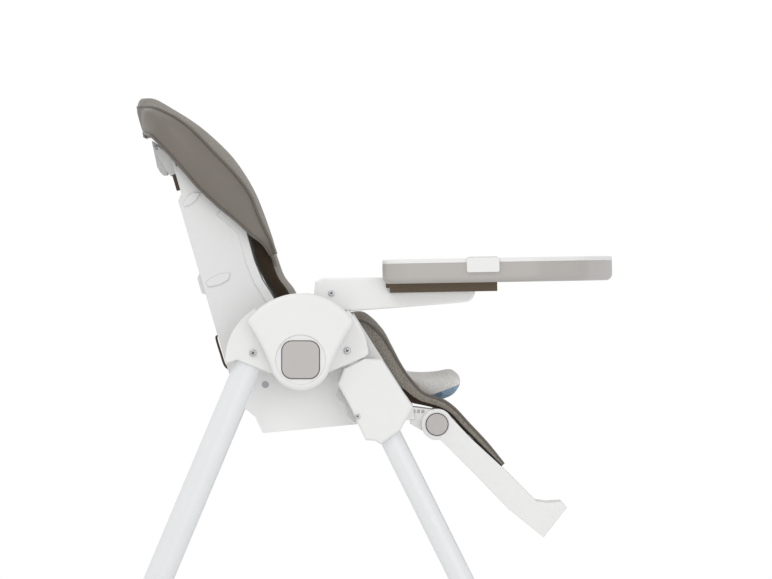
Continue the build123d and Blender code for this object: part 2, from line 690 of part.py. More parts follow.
pad_half = hood_half - 52 - 6
with BuildPart() as backrest_pad:
    with BuildSketch(side(-pad_half)):
        shape([(-89, 2.5), on_back(6, back_wall + soft_gap), on_back(recess_low - 20, back_wall + soft_gap),
               on_back(recess_low - 10, recess_deep + shell_wall + soft_gap),
               on_back(278, recess_deep + shell_wall + soft_gap), on_back(282, 34), on_back(245, 37.7),
               on_back(40, 37.5), (-62, 2.5)])
    extrude(amount=2 * pad_half)
    fillet(backrest_pad.edges().filter_by(Axis.Y).sort_by(Axis.X)[-3:], 8)
finish(backrest_pad, "backrest_pad")

with BuildPart() as seat_pad:
    with BuildSketch(side(-seat_half + shell_wall + soft_gap)):
        with BuildLine():
            Polyline((30, 60), (60, 66), (84, 68.5))
            Spline((84, 68.5), (98, 60.8), (115.4, 42), (141, -5), (156, -30))
            Polyline((156, -30), (167, -46), (167, -52), (148, -55.4), (-7, -54.4), (-7, -34), (14, 20), (30, 60))
        make_face()
    extrude(amount=2 * (seat_half - shell_wall - soft_gap))
    with BuildSketch(side(-104)):
        shape([(-60, -34), (130, -26), (146, -23.5), (167, -46), (260, -46), (260, 120), (-60, 120)])
    extrude(amount=208, mode=Mode.SUBTRACT)
finish(seat_pad, "seat_pad")

with BuildPart() as insert_cushion:
    with BuildSketch(side(-98)):
        with BuildLine():
            Polyline((30, -29.2), (130, -24.8), (148, -21.8), (172, -45), (186, -51.5), (214, -45))
            ThreePointArc((214, -45), (226, -37), (222, -27.5))
            Polyline((222, -27.5), (200, -19.5), (165, -15.5), (30, -13), (30, -29.2))
        make_face()
    extrude(amount=196)
    fillet(insert_cushion.edges().filter_by(GeomType.LINE).filter_by(Axis.Z), 4)
finish(insert_cushion, "insert_cushion")

# ---------------------------------------------------------------- harness and recline handle

strap_wide, strap_thick, strap_apart = 25.0, 2.0, 40.0


with BuildPart() as shoulder_straps:
    with BuildSketch(side(strap_apart - strap_wide / 2)):
        shape([on_back(48, 38.8), on_back(48, 40.8), on_back(245, 40.8), on_back(245, 38.8)])
    extrude(amount=strap_wide)
    mirror(shoulder_straps.part, about=Plane.XZ)
finish(shoulder_straps, "shoulder_straps")

with BuildPart() as strap_sliders:
    with BuildSketch(side(strap_apart - strap_wide / 2 - 3)):
        shape([on_back(241, 1.0), on_back(241, recess_deep), on_back(266, recess_deep), on_back(266, 1.0)])
    extrude(amount=strap_wide + 6)
    with BuildSketch(side(strap_apart - strap_wide / 2)):
        shape([on_back(244.5, -3), on_back(244.5, 9), on_back(250.5, 9), on_back(250.5, -3)])
        shape([on_back(256.5, -3), on_back(256.5, 9), on_back(262.5, 9), on_back(262.5, -3)])
    extrude(amount=strap_wide, mode=Mode.SUBTRACT)
    mirror(strap_sliders.part, about=Plane.XZ)
finish(strap_sliders, "strap_sliders")

with BuildPart() as waist_straps:
    with BuildSketch(Plane(origin=(pivot_x + 40, -62, pivot_height - 11))):
        Rectangle(strap_wide, 72)
    extrude(amount=strap_thick)
    mirror(waist_straps.part, about=Plane.XZ)
finish(waist_straps, "waist_straps")

with BuildPart() as crotch_strap:
    with BuildSketch(Plane(origin=(pivot_x + 84, 0, pivot_height - 12))):
        Rectangle(40, strap_wide)
    extrude(amount=strap_thick)
finish(crotch_strap, "crotch_strap")

with BuildPart() as buckle:
    with BuildSketch(Plane(origin=(pivot_x + 40, 0, pivot_height - 12))):
        RectangleRounded(48, 50, 12)
    extrude(amount=14)
    fillet(buckle.faces().sort_by(Axis.Z)[-1].edges(), 4)
finish(buckle, "buckle")

with BuildPart() as recline_handle:
    with BuildSketch(side(-handle_half)):
        shape([(-210.5, 307.5), (-207.5, 306.5), (-193, 295.5), (-192.2, 289.5), (-187, 268), (-188.5, 259.5), (-194, 259),
               (-198.5, 263), (-203, 271)])
        with Locations(handle_joint):
            Circle(2 + turn_gap, mode=Mode.SUBTRACT)
    extrude(amount=2 * handle_half)
    with BuildSketch(side(-handle_half + 12)):
        shape([(-205, 285), (-184, 285), (-184, 266), (-207, 266)])
    extrude(amount=2 * handle_half - 24, mode=Mode.SUBTRACT)
finish(recline_handle, "recline_handle")

with BuildPart() as handle_pin:
    with BuildSketch(side(-handle_half - ear_thick - 1)):
        with Locations(handle_joint):
            Circle(2)
    extrude(amount=2 * (handle_half + ear_thick + 1))
finish(handle_pin, "handle_pin")

# ---------------------------------------------------------------- footrest

cheek_in = lug_out + 1.0
cheek_out = cheek_in + cheek_thick + 3
panel = [(199.8, -70.3), (206, -76), (239, -111), (281.8, -150.4), (330.3, -198.7), (346, -201), (366, -199.5),
         (373.5, -207.6), (340.6, -249.5), (290.8, -209.3), (239, -155.8), (196, -113), (176, -107)]
panel_under = [(209.5, -90), (239.5, -117.2), (279, -154), (330, -205.6), (337, -230), (322, -248), (285, -216),
               (232, -163), (196, -122)]
panel_taper = 22.0                  # the panel is this much narrower on each side at its end
with BuildPart() as footrest_hollow:
    with BuildSketch(side(-cheek_in)):
        shape(panel_under)
    extrude(amount=2 * cheek_in)
    with BuildSketch(Plane(origin=(pivot_x, 0, pivot_height + 100))):
        shape([(100, -cheek_in), (235, -cheek_in), (400, -cheek_in + panel_taper), (400, cheek_in - panel_taper),
               (235, cheek_in), (100, cheek_in)])
    extrude(amount=-500, mode=Mode.INTERSECT)
fold_start = 27.0
with BuildPart() as footrest_shell:
    with BuildSketch(side(-cheek_out)):
        shape(panel)
        with Locations(footrest_joint):
            Circle(footrest_boss_radius)
    extrude(amount=2 * cheek_out)
    with BuildSketch(side(-cheek_in)):
        with Locations(footrest_joint):
            Circle(fold_start)
        shape([(160, -120), (192, -130), (212, -95), (200, -60), (160, -60)])
    extrude(amount=2 * cheek_in, mode=Mode.SUBTRACT)
    with BuildSketch(Plane(origin=(pivot_x, 0, pivot_height + 100))):
        shape([(100, -cheek_out), (235, -cheek_out), (400, -cheek_out + panel_taper),
               (400, cheek_out - panel_taper), (235, cheek_out), (100, cheek_out)])
    extrude(amount=-500, mode=Mode.INTERSECT)
    add(footrest_hollow.part, mode=Mode.SUBTRACT)
    for out in (-60, 0, 60):
        with BuildSketch(side(out - 2)):
            shape([(222, -102.5), (239.5, -117.2), (279, -154), (330, -205.6), (331, -225), (285, -200),
                   (232, -146)])
        extrude(amount=4)
    with BuildSketch(side(cheek_in)):
        with Locations(footrest_joint):
            Circle(recline_pin / 2 + turn_gap)
    extrude(amount=20, mode=Mode.SUBTRACT)
    with BuildSketch(side(cheek_in + 2.5)):
        with Locations(footrest_joint):
            Circle(footrest_button_radius + turn_gap)
    extrude(amount=20, mode=Mode.SUBTRACT)
    with BuildSketch(side(-cheek_in - 2.5)):
        with Locations(footrest_joint):
            Circle(recline_pin / 2 + turn_gap)
    extrude(amount=5, mode=Mode.SUBTRACT)
    with BuildSketch(side(-cheek_in - 2.5)):
        with Locations(footrest_joint):
            Circle(footrest_button_radius + turn_gap)
    extrude(amount=-20, mode=Mode.SUBTRACT)
finish(footrest_shell, "footrest_shell")

with BuildPart() as footrest_hinge_pins:
    with BuildSketch(side(lug_out - lug_thick)):
        with Locations(footrest_joint):
            Circle(recline_pin / 2)
    extrude(amount=lug_thick + 3.3)
    mirror(footrest_hinge_pins.part, about=Plane.XZ)
finish(footrest_hinge_pins, "footrest_hinge_pins")

with BuildPart() as footrest_button:
    with BuildSketch(side(cheek_in + 7.2)):
        with Locations(footrest_joint):
            Circle(footrest_button_radius)
    extrude(amount=cheek_out - cheek_in - 7.2 + 1.5)
    fillet(footrest_button.faces().sort_by(Axis.Y)[0].edges(), 1.2)
finish_pair(footrest_button, "footrest_button")

with BuildPart() as calf_pad:
    with BuildSketch(side(-128)):
        shape([(204.8, -73.4), (239.8, -110.2), (282.6, -149.6), (284.5, -146.5), (237, -92.4), (216, -70.4),
               (206, -62)])
    extrude(amount=256)
finish(calf_pad, "calf_pad")
print("pivot_x", round(pivot_x, 3), "front leg floor", round(front_floor, 2), "rear leg floor", round(rear_floor, 2))
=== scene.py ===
import bmesh
import bpy
import math
import numpy as np
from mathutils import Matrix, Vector


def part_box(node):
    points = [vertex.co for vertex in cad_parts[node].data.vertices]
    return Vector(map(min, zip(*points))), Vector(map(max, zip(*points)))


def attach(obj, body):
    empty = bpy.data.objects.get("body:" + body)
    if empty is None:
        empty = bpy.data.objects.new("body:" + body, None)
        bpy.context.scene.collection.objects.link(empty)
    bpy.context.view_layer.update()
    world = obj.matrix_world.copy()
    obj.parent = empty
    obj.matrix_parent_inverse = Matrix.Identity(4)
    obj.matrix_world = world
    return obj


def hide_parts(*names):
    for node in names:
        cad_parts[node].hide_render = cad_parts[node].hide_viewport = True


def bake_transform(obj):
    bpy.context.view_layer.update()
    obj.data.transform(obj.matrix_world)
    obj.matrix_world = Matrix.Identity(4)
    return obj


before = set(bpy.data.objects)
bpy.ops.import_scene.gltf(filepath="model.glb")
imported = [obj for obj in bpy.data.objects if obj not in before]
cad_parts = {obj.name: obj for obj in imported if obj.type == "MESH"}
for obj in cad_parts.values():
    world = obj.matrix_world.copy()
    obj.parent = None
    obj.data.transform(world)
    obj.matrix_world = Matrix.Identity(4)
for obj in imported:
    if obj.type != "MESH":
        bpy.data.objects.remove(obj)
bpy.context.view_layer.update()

millimetre = 0.001
pivotLow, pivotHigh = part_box("hub_pivots")
hubX = (pivotLow[0] + pivotHigh[0]) / 2
hubZ = (pivotLow[2] + pivotHigh[2]) / 2
backTilt = math.radians(16.3)
backFoot = (-108.8, 6.0)  # where the back plane starts, forward of the fold pivot and above it


def fromHub(points):  # (forward, out, up) in millimetres from the fold pivot, to metres in the frame
    p = np.asarray(points, float) * millimetre
    return np.stack([hubX + p[..., 0], p[..., 1], hubZ + p[..., 2]], -1)


def onBack(points):  # (up the back, out, forward of the back), turned by the recline angle, to metres
    p = np.asarray(points, float)
    x = backFoot[0] - p[..., 0] * math.sin(backTilt) + p[..., 2] * math.cos(backTilt)
    z = backFoot[1] + p[..., 0] * math.cos(backTilt) + p[..., 2] * math.sin(backTilt)
    return fromHub(np.stack([x, p[..., 1], z], -1))


# a long lens square to the chair's right side, so that the view is nearly without perspective
cameraSet = {"distance": 27.0, "nearSide": 0.22, "pictureWidth": 1.0808, "sensor": 36.0, "clip": (0.5, 200.0),
             "forward": 119.4, "up": 98.3}
cameraData = bpy.data.cameras.new("camera")
cameraData.lens = cameraSet["sensor"] * cameraSet["distance"] / cameraSet["pictureWidth"]
cameraData.sensor_width = cameraSet["sensor"]
cameraData.clip_start, cameraData.clip_end = cameraSet["clip"]
camera = bpy.data.objects.new("camera", cameraData)
bpy.context.scene.collection.objects.link(camera)
camera.location = (hubX + cameraSet["forward"] * millimetre, -cameraSet["distance"] - cameraSet["nearSide"],
                   hubZ + cameraSet["up"] * millimetre)
camera.rotation_euler = (math.radians(90), 0, 0)
bpy.context.scene.camera = camera
bpy.context.scene.view_settings.view_transform = "Standard"

worldSet = {"lighting": 0.82, "backdrop": 1.0}
lightTarget = np.array([0.1, 0.0, 0.7])
lightSet = {  # place, width, power, tint
    "key": ((-1.6, -2.6, 3.8), 1.8, 27, (1.0, 0.99, 0.97)),
    "fill": ((1.4, -3.8, 0.9), 2.6, 19, (0.97, 0.98, 1.0)),
    "back": ((-1.5, 3.0, 3.0), 2.6, 16, (1.0, 1.0, 1.0)),
}
for name, (place, size, power, tint) in lightSet.items():
    lampData = bpy.data.lights.new(name, "AREA")
    lampData.size, lampData.energy, lampData.color = size, power, tint
    lamp = bpy.data.objects.new(name, lampData)
    bpy.context.scene.collection.objects.link(lamp)
    lamp.location = place
    aim = lightTarget - np.array(place)
    lamp.rotation_euler = Vector(aim).to_track_quat("-Z", "Y").to_euler()
# the world is full white where the camera sees it, and dimmer as a light on the chair
world = bpy.data.worlds.new("studio")
bpy.context.scene.world = world
world.use_nodes = True
worldTree = world.node_tree
dimmer = worldTree.nodes.new("ShaderNodeMix")
dimmer.inputs[2].default_value, dimmer.inputs[3].default_value = worldSet["lighting"], worldSet["backdrop"]
worldTree.links.new(worldTree.nodes.new("ShaderNodeLightPath").outputs["Is Camera Ray"], dimmer.inputs[0])
worldTree.links.new(dimmer.outputs[0], worldTree.nodes["Background"].inputs[1])
worldTree.nodes["Background"].inputs[0].default_value = (1, 1, 1, 1)
print("stage: camera and light")


# shader groups that several materials share
def newGroup(name, inputs, outputs):
    group = bpy.data.node_groups.new(name, "ShaderNodeTree")
    for label, kind, value in inputs:
        socket = group.interface.new_socket(name=label, in_out="INPUT", socket_type=kind)
        if value is not None:
            socket.default_value = value
    for label, kind in outputs:
        group.interface.new_socket(name=label, in_out="OUTPUT", socket_type=kind)
    return group, group.nodes.new("NodeGroupInput"), group.nodes.new("NodeGroupOutput")


def mathNode(tree, operation, a, b=None, clamp=False):
    node = tree.nodes.new("ShaderNodeMath")
    node.operation, node.use_clamp = operation, clamp
    for i, value in enumerate((a, b)):
        if value is None:
            continue
        if isinstance(value, (int, float)):
            node.inputs[i].default_value = value
        else:
            tree.links.new(value, node.inputs[i])
    return node.outputs[0]


def mixColour(tree, factor, a, b):
    node = tree.nodes.new("ShaderNodeMix")
    node.data_type = "RGBA"
    for i, value in ((0, factor), (6, a), (7, b)):
        if isinstance(value, (int, float, tuple)):
            node.inputs[i].default_value = value
        else:
            tree.links.new(value, node.inputs[i])
    return node.outputs[2]


def noiseNode(tree, vector, scale, detail=2.0, rough=0.5):
    node = tree.nodes.new("ShaderNodeTexNoise")
    tree.links.new(vector, node.inputs["Vector"])
    if isinstance(scale, (int, float)):
        node.inputs["Scale"].default_value = scale
    else:
        tree.links.new(scale, node.inputs["Scale"])
    node.inputs["Detail"].default_value, node.inputs["Roughness"].default_value = detail, rough
    return node.outputs["Fac"]


wearSet = {"samples": 4, "gain": 5.0, "breakUp": 90.0}
mouldSet = {"cloud": 9.0}
weaveSet = {"stretch": (1.0, 3.0, 1.0), "fleck": 420.0, "slub": 38.0}
hideSet = {"crease": 26.0}


def scaled(tree, source, spread, start):  # start plus spread times the source
    return mathNode(tree, "ADD", mathNode(tree, "MULTIPLY", source, spread), start)


def buildEdgeWear():  # how far the rounded-off normal turns from the true one, broken up by a noise
    inputs = [("Vector", "NodeSocketVector", None), ("Radius", "NodeSocketFloat", 0.002)]
    outputs = [("Mask", "NodeSocketFloat"), ("Normal", "NodeSocketVector")]
    group, gin, gout = newGroup("edgeWear", inputs, outputs)
    bevel = group.nodes.new("ShaderNodeBevel")
    bevel.samples = wearSet["samples"]
    group.links.new(gin.outputs["Radius"], bevel.inputs["Radius"])
    geometry = group.nodes.new("ShaderNodeNewGeometry")
    dot = group.nodes.new("ShaderNodeVectorMath")
    dot.operation = "DOT_PRODUCT"
    group.links.new(bevel.outputs[0], dot.inputs[0])
    group.links.new(geometry.outputs["Normal"], dot.inputs[1])
    turned = mathNode(group, "SUBTRACT", 1.0, dot.outputs["Value"])
    spread = mathNode(group, "MULTIPLY", turned, wearSet["gain"], True)
    broken = noiseNode(group, gin.outputs["Vector"], wearSet["breakUp"], 3.0)
    group.links.new(mathNode(group, "MULTIPLY", spread, broken, True), gout.inputs["Mask"])
    group.links.new(bevel.outputs[0], gout.inputs["Normal"])
    return group


def buildMouldGrain():  # fine spark-eroded grain for height, slow cloudiness for tone
    inputs = [("Vector", "NodeSocketVector", None), ("Scale", "NodeSocketFloat", 900.0)]
    outputs = [("Height", "NodeSocketFloat"), ("Cloud", "NodeSocketFloat")]
    group, gin, gout = newGroup("mouldGrain", inputs, outputs)
    fine = noiseNode(group, gin.outputs["Vector"], gin.outputs["Scale"], 4.0, 0.6)
    cloud = noiseNode(group, gin.outputs["Vector"], mouldSet["cloud"], 3.0)
    group.links.new(fine, gout.inputs["Height"])
    group.links.new(cloud, gout.inputs["Cloud"])
    return group


def buildWeave():  # two crossed sine threads, over and under, with a flecked tone for each yarn
    inputs = [("Vector", "NodeSocketVector", None), ("Threads", "NodeSocketFloat", 1400.0)]
    outputs = [(label, "NodeSocketFloat") for label in ("Height", "Fleck", "Slub")]
    group, gin, gout = newGroup("weave", inputs, outputs)
    split = group.nodes.new("ShaderNodeSeparateXYZ")
    group.links.new(gin.outputs["Vector"], split.inputs[0])
    along = mathNode(group, "ADD", split.outputs[0], split.outputs[2])
    across = mathNode(group, "SUBTRACT", split.outputs[1], split.outputs[2])
    warp = mathNode(group, "SINE", mathNode(group, "MULTIPLY", along, gin.outputs["Threads"]))
    weft = mathNode(group, "SINE", mathNode(group, "MULTIPLY", across, gin.outputs["Threads"]))
    group.links.new(mathNode(group, "MULTIPLY", warp, weft), gout.inputs["Height"])
    stretched = group.nodes.new("ShaderNodeMapping")
    stretched.inputs["Scale"].default_value = weaveSet["stretch"]
    group.links.new(gin.outputs["Vector"], stretched.inputs["Vector"])
    fleck = noiseNode(group, stretched.outputs[0], weaveSet["fleck"], 3.0, 0.75)
    group.links.new(fleck, gout.inputs["Fleck"])
    slub = noiseNode(group, gin.outputs["Vector"], weaveSet["slub"], 3.0)
    group.links.new(slub, gout.inputs["Slub"])
    return group


def buildLeatherGrain():  # pebbled cells for height, with slow creases across
    inputs = [("Vector", "NodeSocketVector", None), ("Scale", "NodeSocketFloat", 520.0)]
    outputs = [("Height", "NodeSocketFloat"), ("Crease", "NodeSocketFloat")]
    group, gin, gout = newGroup("leatherGrain", inputs, outputs)
    cells = group.nodes.new("ShaderNodeTexVoronoi")
    group.links.new(gin.outputs["Vector"], cells.inputs["Vector"])
    group.links.new(gin.outputs["Scale"], cells.inputs["Scale"])
    crease = noiseNode(group, gin.outputs["Vector"], hideSet["crease"], 4.0, 0.6)
    group.links.new(cells.outputs["Distance"], gout.inputs["Height"])
    group.links.new(crease, gout.inputs["Crease"])
    return group


edgeWear = buildEdgeWear()
mouldGrain = buildMouldGrain()
weave = buildWeave()
leatherGrain = buildLeatherGrain()


def linear(colour):  # screen values from 0 to 255, to linear light by the standard screen curve
    v = np.array(colour) / 255.0
    v = np.where(v <= 0.04045, v / 12.92, ((v + 0.055) / 1.055) ** 2.4)
    return (float(v[0]), float(v[1]), float(v[2]), 1.0)


def tone(colour, factor):  # a lighter or darker tone of a linear colour, held at white
    return tuple(min(1.0, c * factor) for c in colour[:3]) + (1.0,)


def startMaterial(name):
    material = bpy.data.materials.new(name)
    material.use_nodes = True
    tree = material.node_tree
    shader = tree.nodes["Principled BSDF"]
    coordinates = tree.nodes.new("ShaderNodeTexCoord").outputs["Object"]
    return material, tree, shader, coordinates


def useGroup(tree, group, **values):
    node = tree.nodes.new("ShaderNodeGroup")
    node.node_tree = group
    for label, value in values.items():
        if isinstance(value, (int, float)):
            node.inputs[label].default_value = value
        else:
            tree.links.new(value, node.inputs[label])
    return node


def bumpNode(tree, height, strength, distance, normal=None):
    node = tree.nodes.new("ShaderNodeBump")
    node.inputs["Strength"].default_value, node.inputs["Distance"].default_value = strength, distance
    tree.links.new(height, node.inputs["Height"])
    if normal is not None:
        tree.links.new(normal, node.inputs["Normal"])
    return node.outputs[0]


def plasticFinish(name, colour, rough, grain=900.0, depth=0.12, edge=0.0015, specular=0.5, wearTone=1.06):
    # moulded grain, slow clouds of tone, and paler, shinier edges
    material, tree, shader, at = startMaterial(name)
    wear = useGroup(tree, edgeWear, Vector=at, Radius=edge)
    mould = useGroup(tree, mouldGrain, Vector=at, Scale=grain)
    base = linear(colour)
    cloud = mathNode(tree, "MULTIPLY", mould.outputs["Cloud"], 0.9, True)
    cloudy = mixColour(tree, cloud, base, tone(base, 0.955))
    edged = mixColour(tree, wear.outputs["Mask"], cloudy, tone(base, wearTone))
    tree.links.new(edged, shader.inputs["Base Color"])
    roughness = scaled(tree, mould.outputs["Cloud"], 0.12, rough - 0.06)
    polish = mathNode(tree, "MULTIPLY", wear.outputs["Mask"], 0.1)
    tree.links.new(mathNode(tree, "SUBTRACT", roughness, polish), shader.inputs["Roughness"])
    tree.links.new(bumpNode(tree, mould.outputs["Height"], depth, 0.0004, wear.outputs["Normal"]),
                   shader.inputs["Normal"])
    shader.inputs["Specular IOR Level"].default_value = specular
    return material


def paintFinish(name, colour):  # powder paint with a faint orange peel under a thin coat
    material, tree, shader, at = startMaterial(name)
    wear = useGroup(tree, edgeWear, Vector=at, Radius=0.0012)
    base = linear(colour)
    peel = noiseNode(tree, at, 160.0, 2.0)
    flow = noiseNode(tree, at, 7.0, 3.0)
    amount = mathNode(tree, "MULTIPLY", flow, 0.7)
    tree.links.new(mixColour(tree, amount, base, tone(base, 0.95)), shader.inputs["Base Color"])
    tree.links.new(scaled(tree, flow, 0.1, 0.2), shader.inputs["Roughness"])
    tree.links.new(bumpNode(tree, peel, 0.08, 0.0004, wear.outputs["Normal"]), shader.inputs["Normal"])
    shader.inputs["Coat Weight"].default_value = 0.4
    shader.inputs["Coat Roughness"].default_value = 0.12
    return material


def metalFinish(name, colour, rough):  # turned metal: a noise drawn out round the part into fine lines
    material, tree, shader, at = startMaterial(name)
    base = linear(colour)
    turned = tree.nodes.new("ShaderNodeMapping")
    turned.inputs["Scale"].default_value = (40.0, 900.0, 40.0)
    tree.links.new(at, turned.inputs["Vector"])
    lines = noiseNode(tree, turned.outputs[0], 3.0, 3.0)
    tree.links.new(mixColour(tree, lines, base, tone(base, 0.8)), shader.inputs["Base Color"])
    tree.links.new(scaled(tree, lines, 0.15, rough - 0.05), shader.inputs["Roughness"])
    tree.links.new(bumpNode(tree, lines, 0.1, 0.0002), shader.inputs["Normal"])
    shader.inputs["Metallic"].default_value = 1.0
    return material


def rubberFinish(name, colour):  # matt, with patches of dust
    material, tree, shader, at = startMaterial(name)
    mould = useGroup(tree, mouldGrain, Vector=at, Scale=600.0)
    base = linear(colour)
    dust = mathNode(tree, "MULTIPLY", mould.outputs["Cloud"], 0.6)
    tree.links.new(mixColour(tree, dust, base, tone(base, 1.5)), shader.inputs["Base Color"])
    tree.links.new(scaled(tree, mould.outputs["Cloud"], 0.2, 0.6), shader.inputs["Roughness"])
    tree.links.new(bumpNode(tree, mould.outputs["Height"], 0.3, 0.0005), shader.inputs["Normal"])
    return material


def melangeFinish(name, light, dark, threads=1400.0, depth=0.5):  # woven cloth of light and dark flecks
    material, tree, shader, at = startMaterial(name)
    cloth = useGroup(tree, weave, Vector=at, Threads=threads)
    ramp = tree.nodes.new("ShaderNodeValToRGB")
    for stop, position, colour in zip(ramp.color_ramp.elements, (0.34, 0.66), (dark, light)):
        stop.position = position
        stop.color = linear(colour)
    tree.links.new(cloth.outputs["Fleck"], ramp.inputs["Fac"])
    low = tuple((a + b) / 2 * 0.86 for a, b in zip(linear(light)[:3], linear(dark)[:3])) + (1.0,)
    shade = mathNode(tree, "MULTIPLY", cloth.outputs["Slub"], 0.55, True)
    tree.links.new(mixColour(tree, shade, ramp.outputs[0], low), shader.inputs["Base Color"])
    tree.links.new(scaled(tree, cloth.outputs["Fleck"], 0.2, 0.75), shader.inputs["Roughness"])
    tree.links.new(bumpNode(tree, cloth.outputs["Height"], depth, 0.0006), shader.inputs["Normal"])
    shader.inputs["Sheen Weight"].default_value = 0.25
    shader.inputs["Sheen Roughness"].default_value = 0.5
    shader.inputs["Specular IOR Level"].default_value = 0.25
    return material


def leatherFinish(name, colour, rough=0.5):  # pebbled hide with slow creases, darker in the creases
    material, tree, shader, at = startMaterial(name)
    hide = useGroup(tree, leatherGrain, Vector=at, Scale=520.0)
    base = linear(colour)
    creased = mixColour(tree, hide.outputs["Crease"], base, tone(base, 0.86))
    tree.links.new(creased, shader.inputs["Base Color"])
    tree.links.new(scaled(tree, hide.outputs["Crease"], 0.16, rough - 0.08), shader.inputs["Roughness"])
    fine = bumpNode(tree, hide.outputs["Height"], 0.35, 0.0003)
    tree.links.new(bumpNode(tree, hide.outputs["Crease"], 0.25, 0.003, fine), shader.inputs["Normal"])
    shader.inputs["Sheen Weight"].default_value = 0.12
    return material


def insertFinish(name, light, dark, ground, motif, seam):
    # flecked cloth above a slanting seam line, and below it a ground scattered with rounded motifs
    material, tree, shader, at = startMaterial(name)
    cloth = useGroup(tree, weave, Vector=at, Threads=1400.0)
    fleck = mathNode(tree, "SUBTRACT", cloth.outputs["Fleck"], 0.3)
    plain = mixColour(tree, mathNode(tree, "MULTIPLY", fleck, 2.5, True), linear(dark), linear(light))
    cells = tree.nodes.new("ShaderNodeTexVoronoi")
    cells.inputs["Scale"].default_value = 62.0
    tree.links.new(at, cells.inputs["Vector"])
    leaf = mathNode(tree, "LESS_THAN", cells.outputs["Distance"], 0.42)
    printed = mixColour(tree, mathNode(tree, "MULTIPLY", leaf, 0.8), linear(ground), linear(motif))
    split = tree.nodes.new("ShaderNodeSeparateXYZ")
    tree.links.new(at, split.inputs[0])
    ahead = mathNode(tree, "SUBTRACT", split.outputs[0], hubX + seam["forward"] * millimetre)
    lean = mathNode(tree, "MULTIPLY", ahead, seam["slope"])
    line = mathNode(tree, "ADD", lean, hubZ + seam["up"] * millimetre)
    below = mathNode(tree, "LESS_THAN", split.outputs[2], line)
    tree.links.new(mixColour(tree, below, plain, printed), shader.inputs["Base Color"])
    tree.links.new(scaled(tree, cloth.outputs["Fleck"], 0.2, 0.72), shader.inputs["Roughness"])
    tree.links.new(bumpNode(tree, cloth.outputs["Height"], 0.4, 0.0005), shader.inputs["Normal"])
    shader.inputs["Sheen Weight"].default_value = 0.2
    return material


finishes = {
    "white": plasticFinish("whitePlastic", (236, 236, 235), 0.36),
    # a lighter copy of the white plastic: painted light to lift the seat shell and armrest out of the shade
    # under the hub
    "bright": plasticFinish("brightPlastic", (246, 246, 245), 0.36),
    # a darker copy of the white plastic: painted shade on the backrest shell
    "shell": plasticFinish("shellPlastic", (228, 229, 228), 0.42),
    "shoe": plasticFinish("shoePlastic", (222, 223, 223), 0.42),
    "button": plasticFinish("buttonGrey", (190, 186, 183), 0.4, 500.0, 0.3, 0.001),
    "lever": plasticFinish("leverGrey", (205, 204, 203), 0.4, 700.0, 0.2, 0.001),
    "tray": plasticFinish("trayGrey", (182, 178, 174), 0.34, 900.0, 0.1, 0.002, 0.5, 1.12),
    "slider": plasticFinish("sliderBrown", (84, 66, 50), 0.3, 700.0, 0.2, 0.001, 0.5, 1.5),
    "rail": plasticFinish("railBrown", (102, 88, 70), 0.5, 700.0, 0.25, 0.001, 0.4, 1.3),
    "leg": paintFinish("legPaint", (231, 233, 234)),
    "screw": metalFinish("screwChrome", (205, 206, 208), 0.18),
    "pin": metalFinish("pinSteel", (170, 172, 175), 0.35),
    "rubber": rubberFinish("padRubber", (84, 84, 84)),
    "taupe": leatherFinish("taupeCover", (118, 111, 103)),
    "piping": leatherFinish("pipingCord", (104, 97, 89), 0.45),
    "melange": melangeFinish("melangeCloth", (164, 158, 149), (112, 106, 97)),
    "paleMelange": melangeFinish("paleMelange", (164, 159, 152), (116, 110, 103)),
    # dark brown lining cloth, as dark as the shade in the gap between shell and pad: partly its own brown,
    # partly painted shade
    "paintedShadeLining": melangeFinish("liningCloth", (58, 44, 26), (34, 25, 12), 1200.0, 0.4),
    "insert": insertFinish("insertCloth", (250, 249, 246), (224, 222, 218), (150, 178, 200), (92, 124, 152),
                           {"forward": 185.7, "up": -49.5, "slope": 0.385}),
    # painted shadow for the gaps round the buttons and the screw recesses, on the rubber finish with its dust
    # patches
    "paintedShadowGap": rubberFinish("darkSeal", (52, 50, 48)),
    "webbing": melangeFinish("strapWebbing", (104, 84, 62), (66, 50, 34), 2200.0, 0.8),
}
nodeFinish = {  # the first words of the node names that each finish covers; a later row wins
    "white": ["front_bracket", "rear_bracket", "hub_cover", "side_casing", "tray_insert", "tray_clips",
              "footrest_shell"],
    # the seat shell and armrest take the painted-light copy of the white plastic, the backrest shell its
    # painted-shade copy
    "bright": ["seat_shell", "armrest"],
    "shell": ["backrest_shell"],
    "shoe": ["front_foot_left", "front_foot_right", "rear_foot", "wheel_rim"],
    "button": ["fold_button", "footrest_button", "buckle"],
    "lever": ["height_lever", "recline_handle"],
    "slider": ["strap_sliders"],
    "tray": ["tray_base"],
    "rail": ["tray_rail"],
    "leg": ["front_leg_left", "front_leg_right", "rear_leg_left", "rear_leg_right", "front_crossbar",
            "rear_crossbar"],
    "screw": ["front_leg_screws", "rear_leg_screws", "casing_screws", "armrest_screws"],
    "pin": ["hub_pivots", "wheel_axles", "recline_hinge_pins", "footrest_hinge_pins", "handle_pin"],
    "rubber": ["front_foot_pads", "wheel_tyre"],
}
for finish, starts in nodeFinish.items():
    for name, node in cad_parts.items():
        if any(name.startswith(start) for start in starts):
            node.data.materials.clear()
            node.data.materials.append(finishes[finish])
print("stage: finishes")


# Surfaces are arrays of rings: control sections are joined by smooth curves both along a piece and round it.
def cubicThrough(a, b, c, d, f):  # the Catmull-Rom cubic from b to c at the fraction f, led by a and d
    bend = 2 * a - 5 * b + 4 * c - d
    twist = 3 * b - a - 3 * c + d
    return 0.5 * ((2 * b) + (c - a) * f + bend * f ** 2 + twist * f ** 3)


def smoothCurve(points, count):  # the cubic through the points, spaced evenly in the parameter
    p = np.asarray(points, float)
    padded = np.concatenate([2 * p[:1] - p[1:2], p, 2 * p[-1:] - p[-2:-1]])
    t = np.linspace(0, len(p) - 1, count)
    i = np.clip(t.astype(int), 0, len(p) - 2)
    f = (t - i).reshape((-1,) + (1,) * (p.ndim - 1))
    return cubicThrough(padded[i], padded[i + 1], padded[i + 2], padded[i + 3], f)


